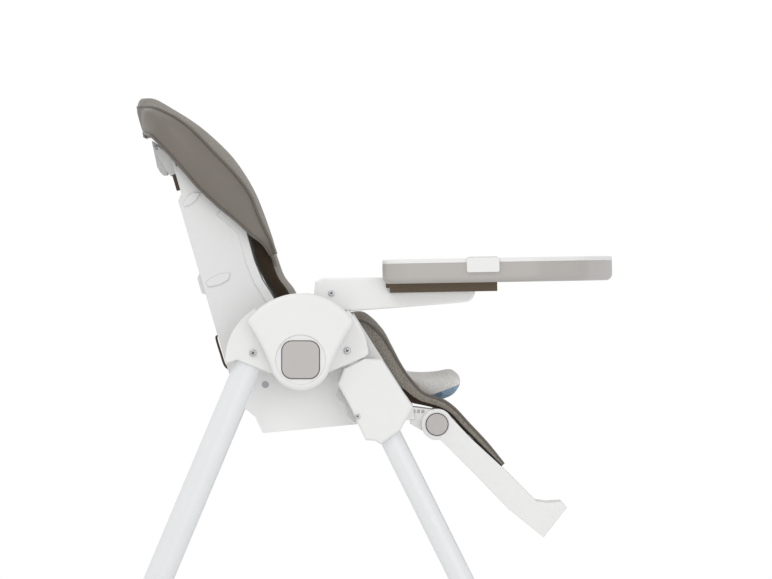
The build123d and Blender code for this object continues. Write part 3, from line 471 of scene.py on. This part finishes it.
def smoothRing(points, count):  # the same cubic round each closed section, along the second axis
    p = np.asarray(points, float)
    n = p.shape[1]
    t = np.linspace(0, n, count, endpoint=False)
    i = t.astype(int) % n
    f = (t - t.astype(int))[None, :, None]
    return cubicThrough(*(p[:, (i + k) % n] for k in (-1, 0, 1, 2)), f)


def makeMesh(name, vertices, faces, materials, index=None):
    mesh = bpy.data.meshes.new(name)
    mesh.from_pydata(np.asarray(vertices).reshape(-1, 3).tolist(), [], faces)
    for material in materials:
        mesh.materials.append(material)
    if index is not None:
        mesh.polygons.foreach_set("material_index", np.asarray(index, np.int32))
    mesh.polygons.foreach_set("use_smooth", np.ones(len(mesh.polygons), bool))
    mesh.update()
    piece = bpy.data.objects.new(name, mesh)
    bpy.context.scene.collection.objects.link(piece)
    return piece


mergeDistance = 1e-6


def orient(piece):  # merges points that coincide and turns every face outward
    work = bmesh.new()
    work.from_mesh(piece.data)
    bmesh.ops.remove_doubles(work, verts=work.verts, dist=mergeDistance)
    bmesh.ops.recalc_face_normals(work, faces=work.faces)
    work.to_mesh(piece.data)
    work.free()
    return piece


def ringFaces(stations, around):  # quads between neighbouring rings, and a fan over each end
    j, k = np.meshgrid(np.arange(stations - 1), np.arange(around), indexing="ij")
    a = j * around + k
    b = j * around + (k + 1) % around
    quads = np.stack([a, b, b + around, a + around], -1).reshape(-1, 4).tolist()
    first, last = stations * around, stations * around + 1
    ends = [[first, (m + 1) % around, m] for m in range(around)]
    base = (stations - 1) * around
    ends += [[last, base + m, base + (m + 1) % around] for m in range(around)]
    return quads, ends


def loftRing(name, rings, materials, zone=None):  # a skin over closed sections, with a fan over each end
    stations, around = rings.shape[:2]
    quads, ends = ringFaces(stations, around)
    vertices = np.concatenate([rings.reshape(-1, 3), rings[0].mean(0)[None], rings[-1].mean(0)[None]])
    index = None
    if zone is not None:
        index = np.concatenate([np.tile(zone, stations - 1), np.zeros(2 * around, int) + zone[0]])
    return orient(makeMesh(name, vertices, quads + ends, materials, index))


def headings(line):  # the unit direction of a line at each of its points
    ahead = np.gradient(line, axis=0)
    return ahead / np.linalg.norm(ahead, axis=1)[:, None]


outAxis = np.array((0.0, 1.0, 0.0))
spareAxis = np.array((0.3, 0.2, 1.0))


def tube(name, line, radius, material, around=10, flat=1.0):
    # an ellipse carried along a line and square to it: cosine across times the flattening, sine over
    p = np.asarray(line, float)
    ahead = headings(p)
    sideways = np.cross(ahead, outAxis)
    weak = np.linalg.norm(sideways, axis=1) < 1e-3  # where the line runs straight out, another axis serves
    sideways[weak] = np.cross(ahead[weak], spareAxis)
    sideways /= np.linalg.norm(sideways, axis=1)[:, None]
    over = np.cross(sideways, ahead)
    angle = np.linspace(0, 2 * math.pi, around, endpoint=False)
    rings = p[:, None] + radius * (np.cos(angle)[None, :, None] * sideways[:, None] * flat
                                   + np.sin(angle)[None, :, None] * over[:, None])
    return loftRing(name, rings, [material])


# The hood: sections square to an outline that runs up the right side, round a corner arc and over the top.
hoodSet = {"half": 171.0, "corner": 105.0, "top": 377.0, "samples": 180, "around": 56, "pale": (16, 49),
           "crown": 1.0, "wrinkleHigh": 0.7, "wrinkles": 61, "wander": (3, 9), "wrinkleColumn": 9,
           "wrinkleSpread": 6.0}
# Each station: how far up the straight side (None on the corner arc) and the outward turn in degrees, then
# hem, bulge, seam, ridge, inner lip, inner foot and underside as (inset from the outline, forward).
hoodStations = [
    (100, 0, (27, 104.5), (26, 105.5), (27, 106.5), (32, 108.0), (38, 106), (40, 103), (33, 103)),
    (118, 0, (16, 102.5), (15, 104.8), (17, 107.8), (26, 110), (41, 105), (45, 99), (30, 100)),
    (136, 0, (6, 96.5), (4, 100.5), (7, 107), (24, 111), (42, 104), (48, 93), (28, 93.5)),
    (152, 0, (1.5, 85.5), (-1, 94), (3.5, 104.5), (22, 110.5), (42, 102), (50, 84), (26, 82)),
    (178, 0, (0.5, 69), (-3.0, 85), (3.5, 101), (24, 109), (43, 99), (51, 72), (26, 67)),
    (206, 0, (0.5, 50), (-4.0, 74), (4.0, 98), (25, 106), (44, 94), (52, 55), (26, 49)),
    (237, 0, (0.5, 32), (-4.5, 60), (4.5, 87), (26, 99), (45, 86), (52, 44), (26, 32)),
    (272, 0, (0.5, 16), (-4.5, 43), (5.0, 69), (26, 86), (46, 74), (52, 34), (28, 17)),
    (None, 32, (16, -8), (-1.5, 16), (6.0, 40), (23, 60), (45, 50), (54, 22), (36, 2)),
    (None, 60, (38, -18), (8, -8), (6.0, 8), (14, 30), (36, 26), (50, 6), (46, -6)),
    (None, 78, (46, -19.5), (20, -17), (8.0, -12), (2, 8), (22, 18), (46, 4), (50, -8)),
    (None, 90, (50, -20), (24, -22), (8.5, -19.5), (-1.6, -8), (12, 12), (42, 5), (52, -9)),
]


def hoodSections():  # the right side's sections, one at the middle, and their mirror images
    corner = hoodSet["corner"]
    right = []
    for height, degrees, *profile in hoodStations:
        turn = math.radians(degrees)
        up, out = height, hoodSet["half"]
        if height is None:
            up = hoodSet["top"] - corner + corner * math.sin(turn)
            out = hoodSet["half"] - corner + corner * math.cos(turn)
        right.append([(up - inset * math.sin(turn), -(out - inset * math.cos(turn)), over)
                      for inset, over in profile])
    middle = [(u, 0.0, o + hoodSet["crown"]) for u, y, o in right[-1]]
    left = [[(u, -y, o) for u, y, o in section] for section in right[::-1]]
    return np.array(right + [middle] + left)


hoodPath = smoothCurve(hoodSections(), hoodSet["samples"])
hoodRings = smoothRing(hoodPath, hoodSet["around"])
# wrinkles: a sine along the hood with a wandering step, fading as a bell curve away from one column
along = np.linspace(0, 1, hoodSet["samples"])[:, None]
column = np.arange(hoodSet["around"])
wanderHigh, wanderRate = hoodSet["wander"]
wave = np.sin(along * hoodSet["wrinkles"] + wanderHigh * np.sin(along * wanderRate))
fade = np.exp(-((column[None, :] - hoodSet["wrinkleColumn"]) / hoodSet["wrinkleSpread"]) ** 2)
hoodRings[..., 2] += hoodSet["wrinkleHigh"] * wave * fade
zone = np.where((column >= hoodSet["pale"][0]) & (column < hoodSet["pale"][1]), 1, 0)
hood = loftRing("backrestHood", onBack(hoodRings), [finishes["taupe"], finishes["paleMelange"]], zone)
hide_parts("backrest_cover")
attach(hood, "backrest")

# piping on the seam column of the hood, and a flattened binding on its hem column
edgingSet = {"ends": 7, "samples": 220, "seam": 2, "hem": 0, "proud": 1.2, "piping": 0.0022,
             "binding": 0.0034, "around": 12, "flat": 0.62}
edged = hoodPath[edgingSet["ends"]:-edgingSet["ends"]]
seamLine = smoothCurve(edged[:, edgingSet["seam"]], edgingSet["samples"])
seamLine[:, 2] += edgingSet["proud"]
hemLine = smoothCurve(edged[:, edgingSet["hem"]], edgingSet["samples"])
hoodPiping = tube("hoodPiping", onBack(seamLine), edgingSet["piping"], finishes["piping"])
hemBinding = tube("hoodHem", onBack(hemLine), edgingSet["binding"], finishes["piping"], edgingSet["around"],
                  edgingSet["flat"])
for piece in (hoodPiping, hemBinding):
    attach(piece, "backrest")

# The lower side bolsters: smooth curves through sections, a dark brown lining on the outer face whose
# darkness is painted shade between the shell and the pad, pale cloth elsewhere.
bolsterSet = {"samples": 60, "around": 42, "paintedShadeLining": (9, 35)}
bolsterStations = [  # up, then (out, forward) round the section: two outer, ridge, three inner, underside
    (16, (140, 97), (145, 107), (138, 121), (124, 124), (112, 116), (110, 100), (126, 95)),
    (40, (141, 96), (147, 108), (139, 120), (124, 123), (111, 114), (108, 97), (126, 94)),
    (62, (142, 95), (148, 107), (140, 116), (124, 120), (110, 111), (106, 92), (126, 92)),
    (84, (143, 88), (149, 100), (141, 108), (124, 112), (110, 104), (106, 86), (126, 86)),
    (112, (143, 84), (149, 98), (141, 106), (124, 110), (110, 101), (106, 82), (126, 82)),
    (145, (143, 84), (149, 96), (141, 105), (125, 108), (110, 99), (106, 80), (126, 82)),
    (168, (143, 79), (148, 90), (140, 98), (125, 102), (112, 94), (108, 76), (126, 78)),
    (186, (138, 64), (141, 78), (136, 90), (126, 94), (117, 86), (114, 68), (126, 64)),
    (206, (134, 48), (136, 58), (132, 66), (126, 69), (120, 62), (119, 52), (126, 48)),
]
for sideName, sign in (("Right", -1), ("Left", 1)):
    control = np.array([[(up, sign * out, over) for out, over in rest] for up, *rest in bolsterStations])
    rings = smoothRing(smoothCurve(control, bolsterSet["samples"]), bolsterSet["around"])
    column = np.arange(bolsterSet["around"])
    zone = np.where((column < bolsterSet["paintedShadeLining"][0]) | (column > bolsterSet["paintedShadeLining"][1]), 1, 0)
    cloths = [finishes["paleMelange"], finishes["paintedShadeLining"]]
    bolster = loftRing("sideBolster" + sideName, onBack(rings), cloths, zone)
    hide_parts("backrest_cover")
    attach(bolster, "backrest")
print("stage: hood")


puffSet = {"pressure": 4.0, "stiff": 18.0, "shear": 8, "bending": 2.0, "mass": 0.3, "quality": 5,
           "frames": 20}


def puff(piece, voxel, cap):
    # an even mesh is blown up by a short cloth run, and each point goes at most the cap from its start
    scene = bpy.context.scene
    bpy.context.view_layer.objects.active = piece
    remesh = piece.modifiers.new("remesh", "REMESH")
    remesh.mode, remesh.voxel_size = "VOXEL", voxel
    graph = bpy.context.evaluated_depsgraph_get()
    mesh = bpy.data.meshes.new_from_object(piece.evaluated_get(graph))
    piece.modifiers.clear()
    piece.data = mesh
    start = np.zeros(len(mesh.vertices) * 3)
    mesh.vertices.foreach_get("co", start)
    start = start.reshape(-1, 3)
    cloth = piece.modifiers.new("cloth", "CLOTH")
    settings = cloth.settings
    settings.quality, settings.mass = puffSet["quality"], puffSet["mass"]
    settings.tension_stiffness = settings.compression_stiffness = puffSet["stiff"]
    settings.shear_stiffness, settings.bending_stiffness = puffSet["shear"], puffSet["bending"]
    settings.use_pressure, settings.uniform_pressure_force = True, puffSet["pressure"]
    settings.effector_weights.gravity = 0
    cloth.point_cache.frame_start, cloth.point_cache.frame_end = 1, puffSet["frames"]
    for f in range(1, puffSet["frames"] + 1):
        scene.frame_set(f)
    graph = bpy.context.evaluated_depsgraph_get()
    done = piece.evaluated_get(graph).to_mesh()
    moved = np.zeros(len(done.vertices) * 3)
    done.vertices.foreach_get("co", moved)
    piece.evaluated_get(graph).to_mesh_clear()
    piece.modifiers.clear()
    scene.frame_set(1)
    step = moved.reshape(-1, 3) - start
    far = np.linalg.norm(step, axis=1, keepdims=True)
    step *= np.minimum(1.0, cap / np.maximum(far, 1e-9))
    mesh.vertices.foreach_set("co", (start + step).ravel())
    mesh.polygons.foreach_set("use_smooth", np.ones(len(mesh.polygons), bool))
    mesh.update()


def finishSubdivision(piece):
    smooth = piece.modifiers.new("smooth", "SUBSURF")
    smooth.levels = smooth.render_levels = 1


# The back cushion: sections up the back, each with its own width, rear face and front face.
backCushionSet = {"low": 4.0, "high": 346.0, "channels": (66.0, 128.0, 190.0, 252.0),
                  "width": ((0, 98), (60, 108), (165, 113), (200, 121), (272, 121), (310, 112), (346, 84)),
                  "rear": ((0, 11.8), (284, 11.8), (306, 3.5), (346, 2.0)),
                  "front": ((0, 33), (150, 36), (250, 35), (310, 22), (346, 13)),
                  "square": 0.3, "rounded": 0.5, "endPower": 12, "endLeast": 0.02, "endNarrow": 0.05,
                  "sideHigh": 5.0, "sidePower": 4, "channelDeep": 6.0, "channelWide": 4.0, "channelBow": 6,
                  "bowWide": 45}


def cushionGrid(upCount=110, outCount=84):
    # Out is the half width times the signed cosine to a low power, and forward is the middle plus the half
    # depth times the signed sine to a low power. The depth shrinks at both ends, the sides rise with a power
    # of the distance out, and each sewn channel is a bell-shaped groove bowed as a cosine.
    s = backCushionSet
    up = np.linspace(0, 1, upCount)[:, None]
    angle = np.linspace(0, 2 * math.pi, outCount, endpoint=False)[None, :]
    endPull = np.clip(1 - np.abs(2 * up - 1) ** s["endPower"], s["endLeast"], 1) ** 0.5
    height = s["low"] + (s["high"] - s["low"]) * up + 0 * angle
    half, rear, front = (np.interp(height, *np.array(s[k]).T) for k in ("width", "rear", "front"))
    across = np.sign(np.cos(angle)) * np.abs(np.cos(angle)) ** s["square"]
    swell = np.sign(np.sin(angle)) * np.abs(np.sin(angle)) ** s["rounded"]
    out = half * across * (1 - s["endNarrow"] + s["endNarrow"] * endPull)
    over = (rear + front) / 2 + (front - rear) / 2 * swell * endPull
    facing = np.clip(np.sin(angle), 0, 1) ** s["rounded"]
    over = over + facing * s["sideHigh"] * np.clip(np.abs(out) / half, 0, 1) ** s["sidePower"]
    for channel in s["channels"]:
        away = height - channel - s["channelBow"] * np.cos(out / s["bowWide"])
        over = over - facing * s["channelDeep"] * np.exp(-(away / s["channelWide"]) ** 2)
    return np.stack([height, out, over], -1)


backCushion = loftRing("backCushion", onBack(cushionGrid()), [finishes["melange"]])
puff(backCushion, voxel=0.005, cap=0.005)
finishSubdivision(backCushion)
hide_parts("backrest_pad")
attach(backCushion, "backrest")

# The seat cushion: one piece from under the backrest, over the lip and on to the footrest. Each section runs
# from the underside out to the bolster ridge, down to the seat surface and across, and its mirror closes it.
seatCushionSet = {"samples": 150, "around": 84, "points": 20, "paintedShadeLining": (1.3, 15.7), "quiltHigh": 1.6,
                  "quiltRate": 40, "quilted": (6.5, 11.5), "quiltEnd": 0.55,
                  "bend": ((168, 0, -45), (212, 0, -72))}
seatPipingSet = {"columns": (("Right", -1, 3), ("Left", 1, 14)), "start": 8, "samples": 160, "proud": 0.0016,
                 "radius": 0.0019}
# Each station: underside, seat surface and bolster ridge as (forward, up), and the half width.
seatStations = [
    ((-6, -53.5), (-8, -36), (24, 52), 152),
    ((8, -54), (10, -33), (40, 60), 152),
    ((40, -54.2), (40, -30.5), (62, 65), 152),
    ((70, -54.6), (72, -28.5), (84, 67.5), 152),
    ((95, -54.8), (98, -27), (99, 59), 152),
    ((116, -55), (120, -25.5), (115.4, 41), 152),
    ((132, -55.2), (136, -24.2), (127, 20), 152),
    ((146, -55.4), (148, -24.5), (140, -5), 151),
    ((157, -61), (160, -32), (151, -22), 150),
    ((168, -63.5), (172, -46.5), (170, -44), 148),
    ((184, -67.2), (190, -54), (190, -52.5), 146),
    ((197, -71.8), (204, -60.5), (205, -59.5), 144),
    ((209, -78.6), (219, -73.5), (220, -71.8), 142),
    ((228, -98.6), (237, -92.6), (238, -91.5), 140),
    ((254, -124.2), (262, -119.5), (263, -118.5), 138),
    ((282, -150.0), (284.5, -147.6), (285, -146.6), 134),
]


def seatSections():
    sections = []
    for under, seat, ridge, half in seatStations:
        u, s, r = (np.array(v, float) for v in (under, seat, ridge))
        outside = [(u + k * (r - u), half + step) for k, step in ((0, -8), (0.12, -1), (0.55, 1), (0.9, -3))]
        inside = [(s + k * (r - s), half + step) for k, step in ((0.86, -34), (0.35, -44), (0, -58))]
        right = outside + [(r, half - 16)] + inside + [(s, half * 0.3)]
        ring = [(p[0], -y, p[1]) for p, y in right] + [(p[0], y, p[1]) for p, y in right[::-1]]
        ring += [(u[0], half * 0.35, u[1]), (u[0], -half * 0.35, u[1])]
        sections.append(ring)
    return np.array(sections)


seatPath = smoothCurve(seatSections(), seatCushionSet["samples"])
seatRings = smoothRing(seatPath, seatCushionSet["around"])
# quilting: a cosine wave along the seat, only on the sitting surface
around = np.arange(seatCushionSet["around"]) / seatCushionSet["around"] * seatCushionSet["points"]
along = np.linspace(0, 1, seatCushionSet["samples"])[:, None]
paintedShadeLiningLow, paintedShadeLiningHigh = seatCushionSet["paintedShadeLining"]
quiltLow, quiltTop = seatCushionSet["quilted"]
# the lower outer sides and the underside take the dark brown lining, darkened as painted shade beside and
# under the pad
zone = np.where((around < paintedShadeLiningLow) | (around > paintedShadeLiningHigh), 1, 0)
quilt = seatCushionSet["quiltHigh"] * np.cos(along * seatCushionSet["quiltRate"])
quilt = quilt * ((around > quiltLow) & (around < quiltTop))[None, :]
seatRings[..., 2] += quilt * (along < seatCushionSet["quiltEnd"])
seatCushion = loftRing("seatCushion", fromHub(seatRings), [finishes["melange"], finishes["paintedShadeLining"]], zone)
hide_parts("seat_pad", "calf_pad")
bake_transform(seatCushion)

for sideName, sign, column in seatPipingSet["columns"]:
    edge = fromHub(seatPath)[seatPipingSet["start"]:, column]
    line = smoothCurve(edge, seatPipingSet["samples"])
    line[:, 1] += sign * seatPipingSet["proud"]
    cord = tube("seatPiping" + sideName, line, seatPipingSet["radius"], finishes["piping"])
    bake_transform(cord)
print("stage: seat cushion")

# The pale insert cushion: a soft slab with a dropped front edge and a printed underside, narrower on both
# faces than at its middle height.
insertSet = {"half": 92.0, "samples": 60, "around": 60, "under": 0.86, "top": 0.88, "inner": 0.4,
             "crown": 1.0}
insertStations = [  # underside, top as (forward, up)
    ((33, -26.5), (32, -18)), ((45, -27), (45, -15)), ((80, -25.6), (80, -14.2)),
    ((120, -24), (120, -16.2)), ((144, -25.5), (146, -20.5)), ((158, -35), (162, -22.2)),
    ((171, -47), (178, -22.2)), ((185, -52.2), (194, -20.8)), ((199, -53.4), (208, -18.6)),
    ((212, -50.5), (219, -21.5)), ((220, -44.5), (225, -27)), ((223, -38.5), (226.4, -32.5)),
]


def insertSections():
    half = insertSet["half"]
    inner = half * insertSet["inner"]
    sections = []
    for under, top in insertStations:
        u, t = np.array(under, float), np.array(top, float)
        right = [(u, half * insertSet["under"]), (u + 0.5 * (t - u), half), (t, half * insertSet["top"]),
                 (t + (0, insertSet["crown"]), inner)]
        ring = [(p[0], -y, p[1]) for p, y in right] + [(p[0], y, p[1]) for p, y in right[::-1]]
        sections.append(ring + [(u[0], inner, u[1]), (u[0], -inner, u[1])])
    return np.array(sections)


insertRings = smoothRing(smoothCurve(insertSections(), insertSet["samples"]), insertSet["around"])
insertCushion = loftRing("insertCushion", fromHub(insertRings), [finishes["insert"]])
puff(insertCushion, voxel=0.004, cap=0.003)
finishSubdivision(insertCushion)
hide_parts("insert_cushion")
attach(insertCushion, "seat")
print("stage: insert cushion")

# The harness: smooth lines along the cushions, each carrying a thin strap.
strapSet = {"half": 12.5, "thick": 1.0, "edge": 0.97, "shoulderSamples": 60, "shoulderEvery": 4,
            "shoulderRings": 90, "rings": 30}
shoulderRoute = [(245, 40, 36), (238, 40, 41), (190, 40, 42), (120, 39, 42), (60, 36, 43), (30, 33, 50)]
shoulderEnd = [(-20, 27, -12), (6, 21, -8), (22, 17, -5)]
waistRoute = [(44, 22, -6), (42, 50, -9.5), (40, 80, -12), (38, 96, -17)]
crotchRoute = [(60, 0, -6), (76, 0, -9), (96, 0, -11.5), (108, 0, -12.5)]
acrossBody = (0, 1, 0)
alongBody = (1, 0, 0)


def onSide(route, sign):  # a route given for the left side, kept for sign 1 and mirrored for sign -1
    return [(ahead, sign * out, up) for ahead, out, up in route]


def flatStrap(name, line, side):  # a thin rectangle carried along a line, its width along side
    p = np.asarray(line, float)
    wideWay = np.tile(np.array(side, float), (len(p), 1))
    face = np.cross(headings(p), wideWay)
    face /= np.linalg.norm(face, axis=1)[:, None]
    edge = strapSet["edge"]
    profile = np.array([(-1, -1), (-edge, -1), (edge, -1), (1, -1), (1, 1), (edge, 1), (-edge, 1), (-1, 1)])
    rings = p[:, None] + (profile[None, :, :1] * wideWay[:, None] * strapSet["half"] * millimetre
                          + profile[None, :, 1:] * face[:, None] * strapSet["thick"] * millimetre)
    return loftRing(name, rings, [finishes["webbing"]])


for sideName, sign in (("Right", -1), ("Left", 1)):
    down = smoothCurve(onSide(shoulderRoute, sign), strapSet["shoulderSamples"])
    line = np.concatenate([onBack(down), fromHub(onSide(shoulderEnd, sign))])
    points = np.concatenate([line[::strapSet["shoulderEvery"]], line[-2:]])
    strap = flatStrap("shoulderStrap" + sideName, smoothCurve(points, strapSet["shoulderRings"]), acrossBody)
    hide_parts("shoulder_straps")
    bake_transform(strap)
    waist = smoothCurve(onSide(waistRoute, sign), strapSet["rings"])
    piece = flatStrap("waistStrap" + sideName, fromHub(waist), alongBody)
    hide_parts("waist_straps")
    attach(piece, "seat")
piece = flatStrap("crotchStrap", fromHub(smoothCurve(crotchRoute, strapSet["rings"])), acrossBody)
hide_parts("crotch_strap")
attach(piece, "seat")
print("stage: harness")

# Small trims: a dark line round each button, painted shadow in the gap round it; cross slots in the screws,
# painted shade in their recesses; slots beside the footrest joint, painted shade in the openings; and the
# strap ends behind the shell.
foldLineSet = {"half": 26.4, "corner": 14.3, "radius": 0.75, "samples": 96, "inward": 1.2}
footLineSet = {"centre": (191, -91), "ring": 15.5, "radius": 0.55, "samples": 64, "inward": 0.6}
coverFace = abs(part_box("hub_cover_right")[0][1])
bossFace = abs(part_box("footrest_button_right")[0][1])
lineAround = 8


def closedLine(name, path, radius, material):  # a circle carried round a closed flat path in the side plane
    p = np.asarray(path, float)
    ahead = np.roll(p, -1, 0) - np.roll(p, 1, 0)
    ahead /= np.linalg.norm(ahead, axis=1)[:, None]
    outward = np.cross(ahead, outAxis)
    angle = np.linspace(0, 2 * math.pi, lineAround, endpoint=False)
    rings = p[:, None] + radius * (np.cos(angle)[None, :, None] * outward[:, None]
                                   + np.sin(angle)[None, :, None] * outAxis)
    n = len(p)
    j, k = np.meshgrid(np.arange(n), np.arange(lineAround), indexing="ij")
    here, beyond = j * lineAround, (j + 1) % n * lineAround
    beside = (k + 1) % lineAround
    quads = np.stack([here + k, here + beside, beyond + beside, beyond + k], -1)
    return orient(makeMesh(name, rings, quads.reshape(-1, 4).tolist(), [material]))


def roundedSquare(half, corner, count):  # quarter circles about four centres, joined by straight sides
    t = np.linspace(0, 2 * math.pi, count, endpoint=False)
    centre = (half - corner) * np.stack([np.sign(np.cos(t)), np.sign(np.sin(t))], -1)
    return centre + corner * np.stack([np.cos(t), np.sin(t)], -1)


def circle(centre, radius, count):
    t = np.linspace(0, 2 * math.pi, count, endpoint=False)
    return np.array(centre) + radius * np.stack([np.cos(t), np.sin(t)], -1)


def sidePath(flat, out):  # a flat outline (forward, up) stood in the side plane at a distance out, in metres
    ring = fromHub(np.stack([flat[:, 0], 0 * flat[:, 0], flat[:, 1]], -1))
    ring[:, 1] = out
    return ring


foldOutline = roundedSquare(foldLineSet["half"], foldLineSet["corner"], foldLineSet["samples"])
footOutline = circle(footLineSet["centre"], footLineSet["ring"], footLineSet["samples"])
foldRadius = foldLineSet["radius"] * millimetre
footRadius = footLineSet["radius"] * millimetre
# each button gets a dark ring just inside its outline: painted shadow in the gap round it
for sideName, sign in (("right", -1), ("left", 1)):
    path = sidePath(foldOutline, sign * (coverFace - foldLineSet["inward"] * millimetre))
    piece = closedLine("buttonLine_" + sideName, path, foldRadius, finishes["paintedShadowGap"])
    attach(piece, "front_frame")
    path = sidePath(footOutline, sign * (bossFace - footLineSet["inward"] * millimetre))
    piece = closedLine("footrestButtonLine_" + sideName, path, footRadius, finishes["paintedShadowGap"])
    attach(piece, "footrest")


def sidePrisms(name, outlines, near, far, material):  # four-sided outlines given depth on both sides
    vertices, faces = [], []
    for sign in (-1, 1):
        for flat in outlines:
            k = len(vertices)
            vertices += [(f[0], sign * near, f[1]) for f in flat] + [(f[0], sign * far, f[1]) for f in flat]
            faces += [[k, k + 1, k + 2, k + 3], [k + 7, k + 6, k + 5, k + 4]]
            faces += [[k + m, k + 4 + m, k + 4 + (m + 1) % 4, k + (m + 1) % 4] for m in range(4)]
    piece = orient(makeMesh(name, fromHub(vertices), faces, [material]))
    piece.data.polygons.foreach_set("use_smooth", np.zeros(len(piece.data.polygons), bool))
    return piece


# each cross slot is two crossed bars, sized from the screw's head, painted dark as the shade inside the
# recess
slotSet = {"long": 0.52, "wide": 0.12, "turn": 0.6, "sunk": 0.6, "proud": 0.12}
screwPlaces = {  # (forward, up), head radius, body
    "front_leg_screws": ((65.1, 12.6), 5.0, "front_frame"),
    "rear_leg_screws": ((-66.9, 9.4), 5.0, "rear_frame"),
    "armrest_screws": ((42.8, 93.2), 4.5, "seat"),
    "casing_screws": ((79.7, -79.2), 3.6, "seat"),
}
for name, (place, head, body) in screwPlaces.items():
    outlines = []
    for turn in (slotSet["turn"], slotSet["turn"] + math.pi / 2):
        u = np.array((math.cos(turn), math.sin(turn)))
        v = np.array((-u[1], u[0]))
        outlines.append([np.array(place) + head * (a * slotSet["long"] * u + b * slotSet["wide"] * v)
                         for a, b in ((-1, -1), (1, -1), (1, 1), (-1, 1))])
    reach = abs(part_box(name)[0][1]) / millimetre
    near, far = reach - slotSet["sunk"], reach + slotSet["proud"]
    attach(sidePrisms(name + "_slots", outlines, near, far, finishes["paintedShadowGap"]), body)
# the slots beside the footrest joint are thin grey prisms on the surface: painted shade inside each opening
lugSet = {"first": 157.0, "step": 6.2, "count": 3, "near": 150.6, "far": 151.3,
          "outline": ((0.0, -70.0), (4.2, -70.4), (3.4, -75.4), (-0.8, -75.0))}
lugSlots = [[(lugSet["first"] + lugSet["step"] * slot + ahead, up) for ahead, up in lugSet["outline"]]
            for slot in range(lugSet["count"])]
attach(sidePrisms("lug_slots", lugSlots, lugSet["near"], lugSet["far"], finishes["button"]), "seat")

rearStrapSamples = 40
rearRoute = [(-110, 60, 36), (-118.6, 60, 33), (-119.6, 60, 28), (-113.6, 60, 8), (-108.2, 60, -8),
             (-102, 60, -14)]
for sideName, sign in (("right", -1), ("left", 1)):
    line = smoothCurve(onSide(rearRoute, sign), rearStrapSamples)
    piece = flatStrap("rearStrap_" + sideName, fromHub(line), acrossBody)
    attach(piece, "backrest")
print("stage: trims")

# the floor, a flat sheet of paper just under the chair
floorSet = {"half": 4, "drop": 0.0006, "pale": (0.9, 0.9, 0.9, 1), "dim": (0.86, 0.86, 0.86, 1), "cloud": 3.0,
            "grain": 40.0}
floorCorners = [(a * floorSet["half"], b * floorSet["half"], -floorSet["drop"])
                for a, b in ((-1, -1), (1, -1), (1, 1), (-1, 1))]
floorMesh = bpy.data.meshes.new("floor")
floorMesh.from_pydata(floorCorners, [], [[0, 1, 2, 3]])
floor = bpy.data.objects.new("floor", floorMesh)
bpy.context.scene.collection.objects.link(floor)
floorFinish, tree, shader, at = startMaterial("floorPaper")
paper = mixColour(tree, noiseNode(tree, at, floorSet["cloud"]), floorSet["dim"], floorSet["pale"])
tree.links.new(paper, shader.inputs["Base Color"])
tree.links.new(scaled(tree, noiseNode(tree, at, floorSet["grain"]), 0.1, 0.6), shader.inputs["Roughness"])
floor.data.materials.append(floorFinish)
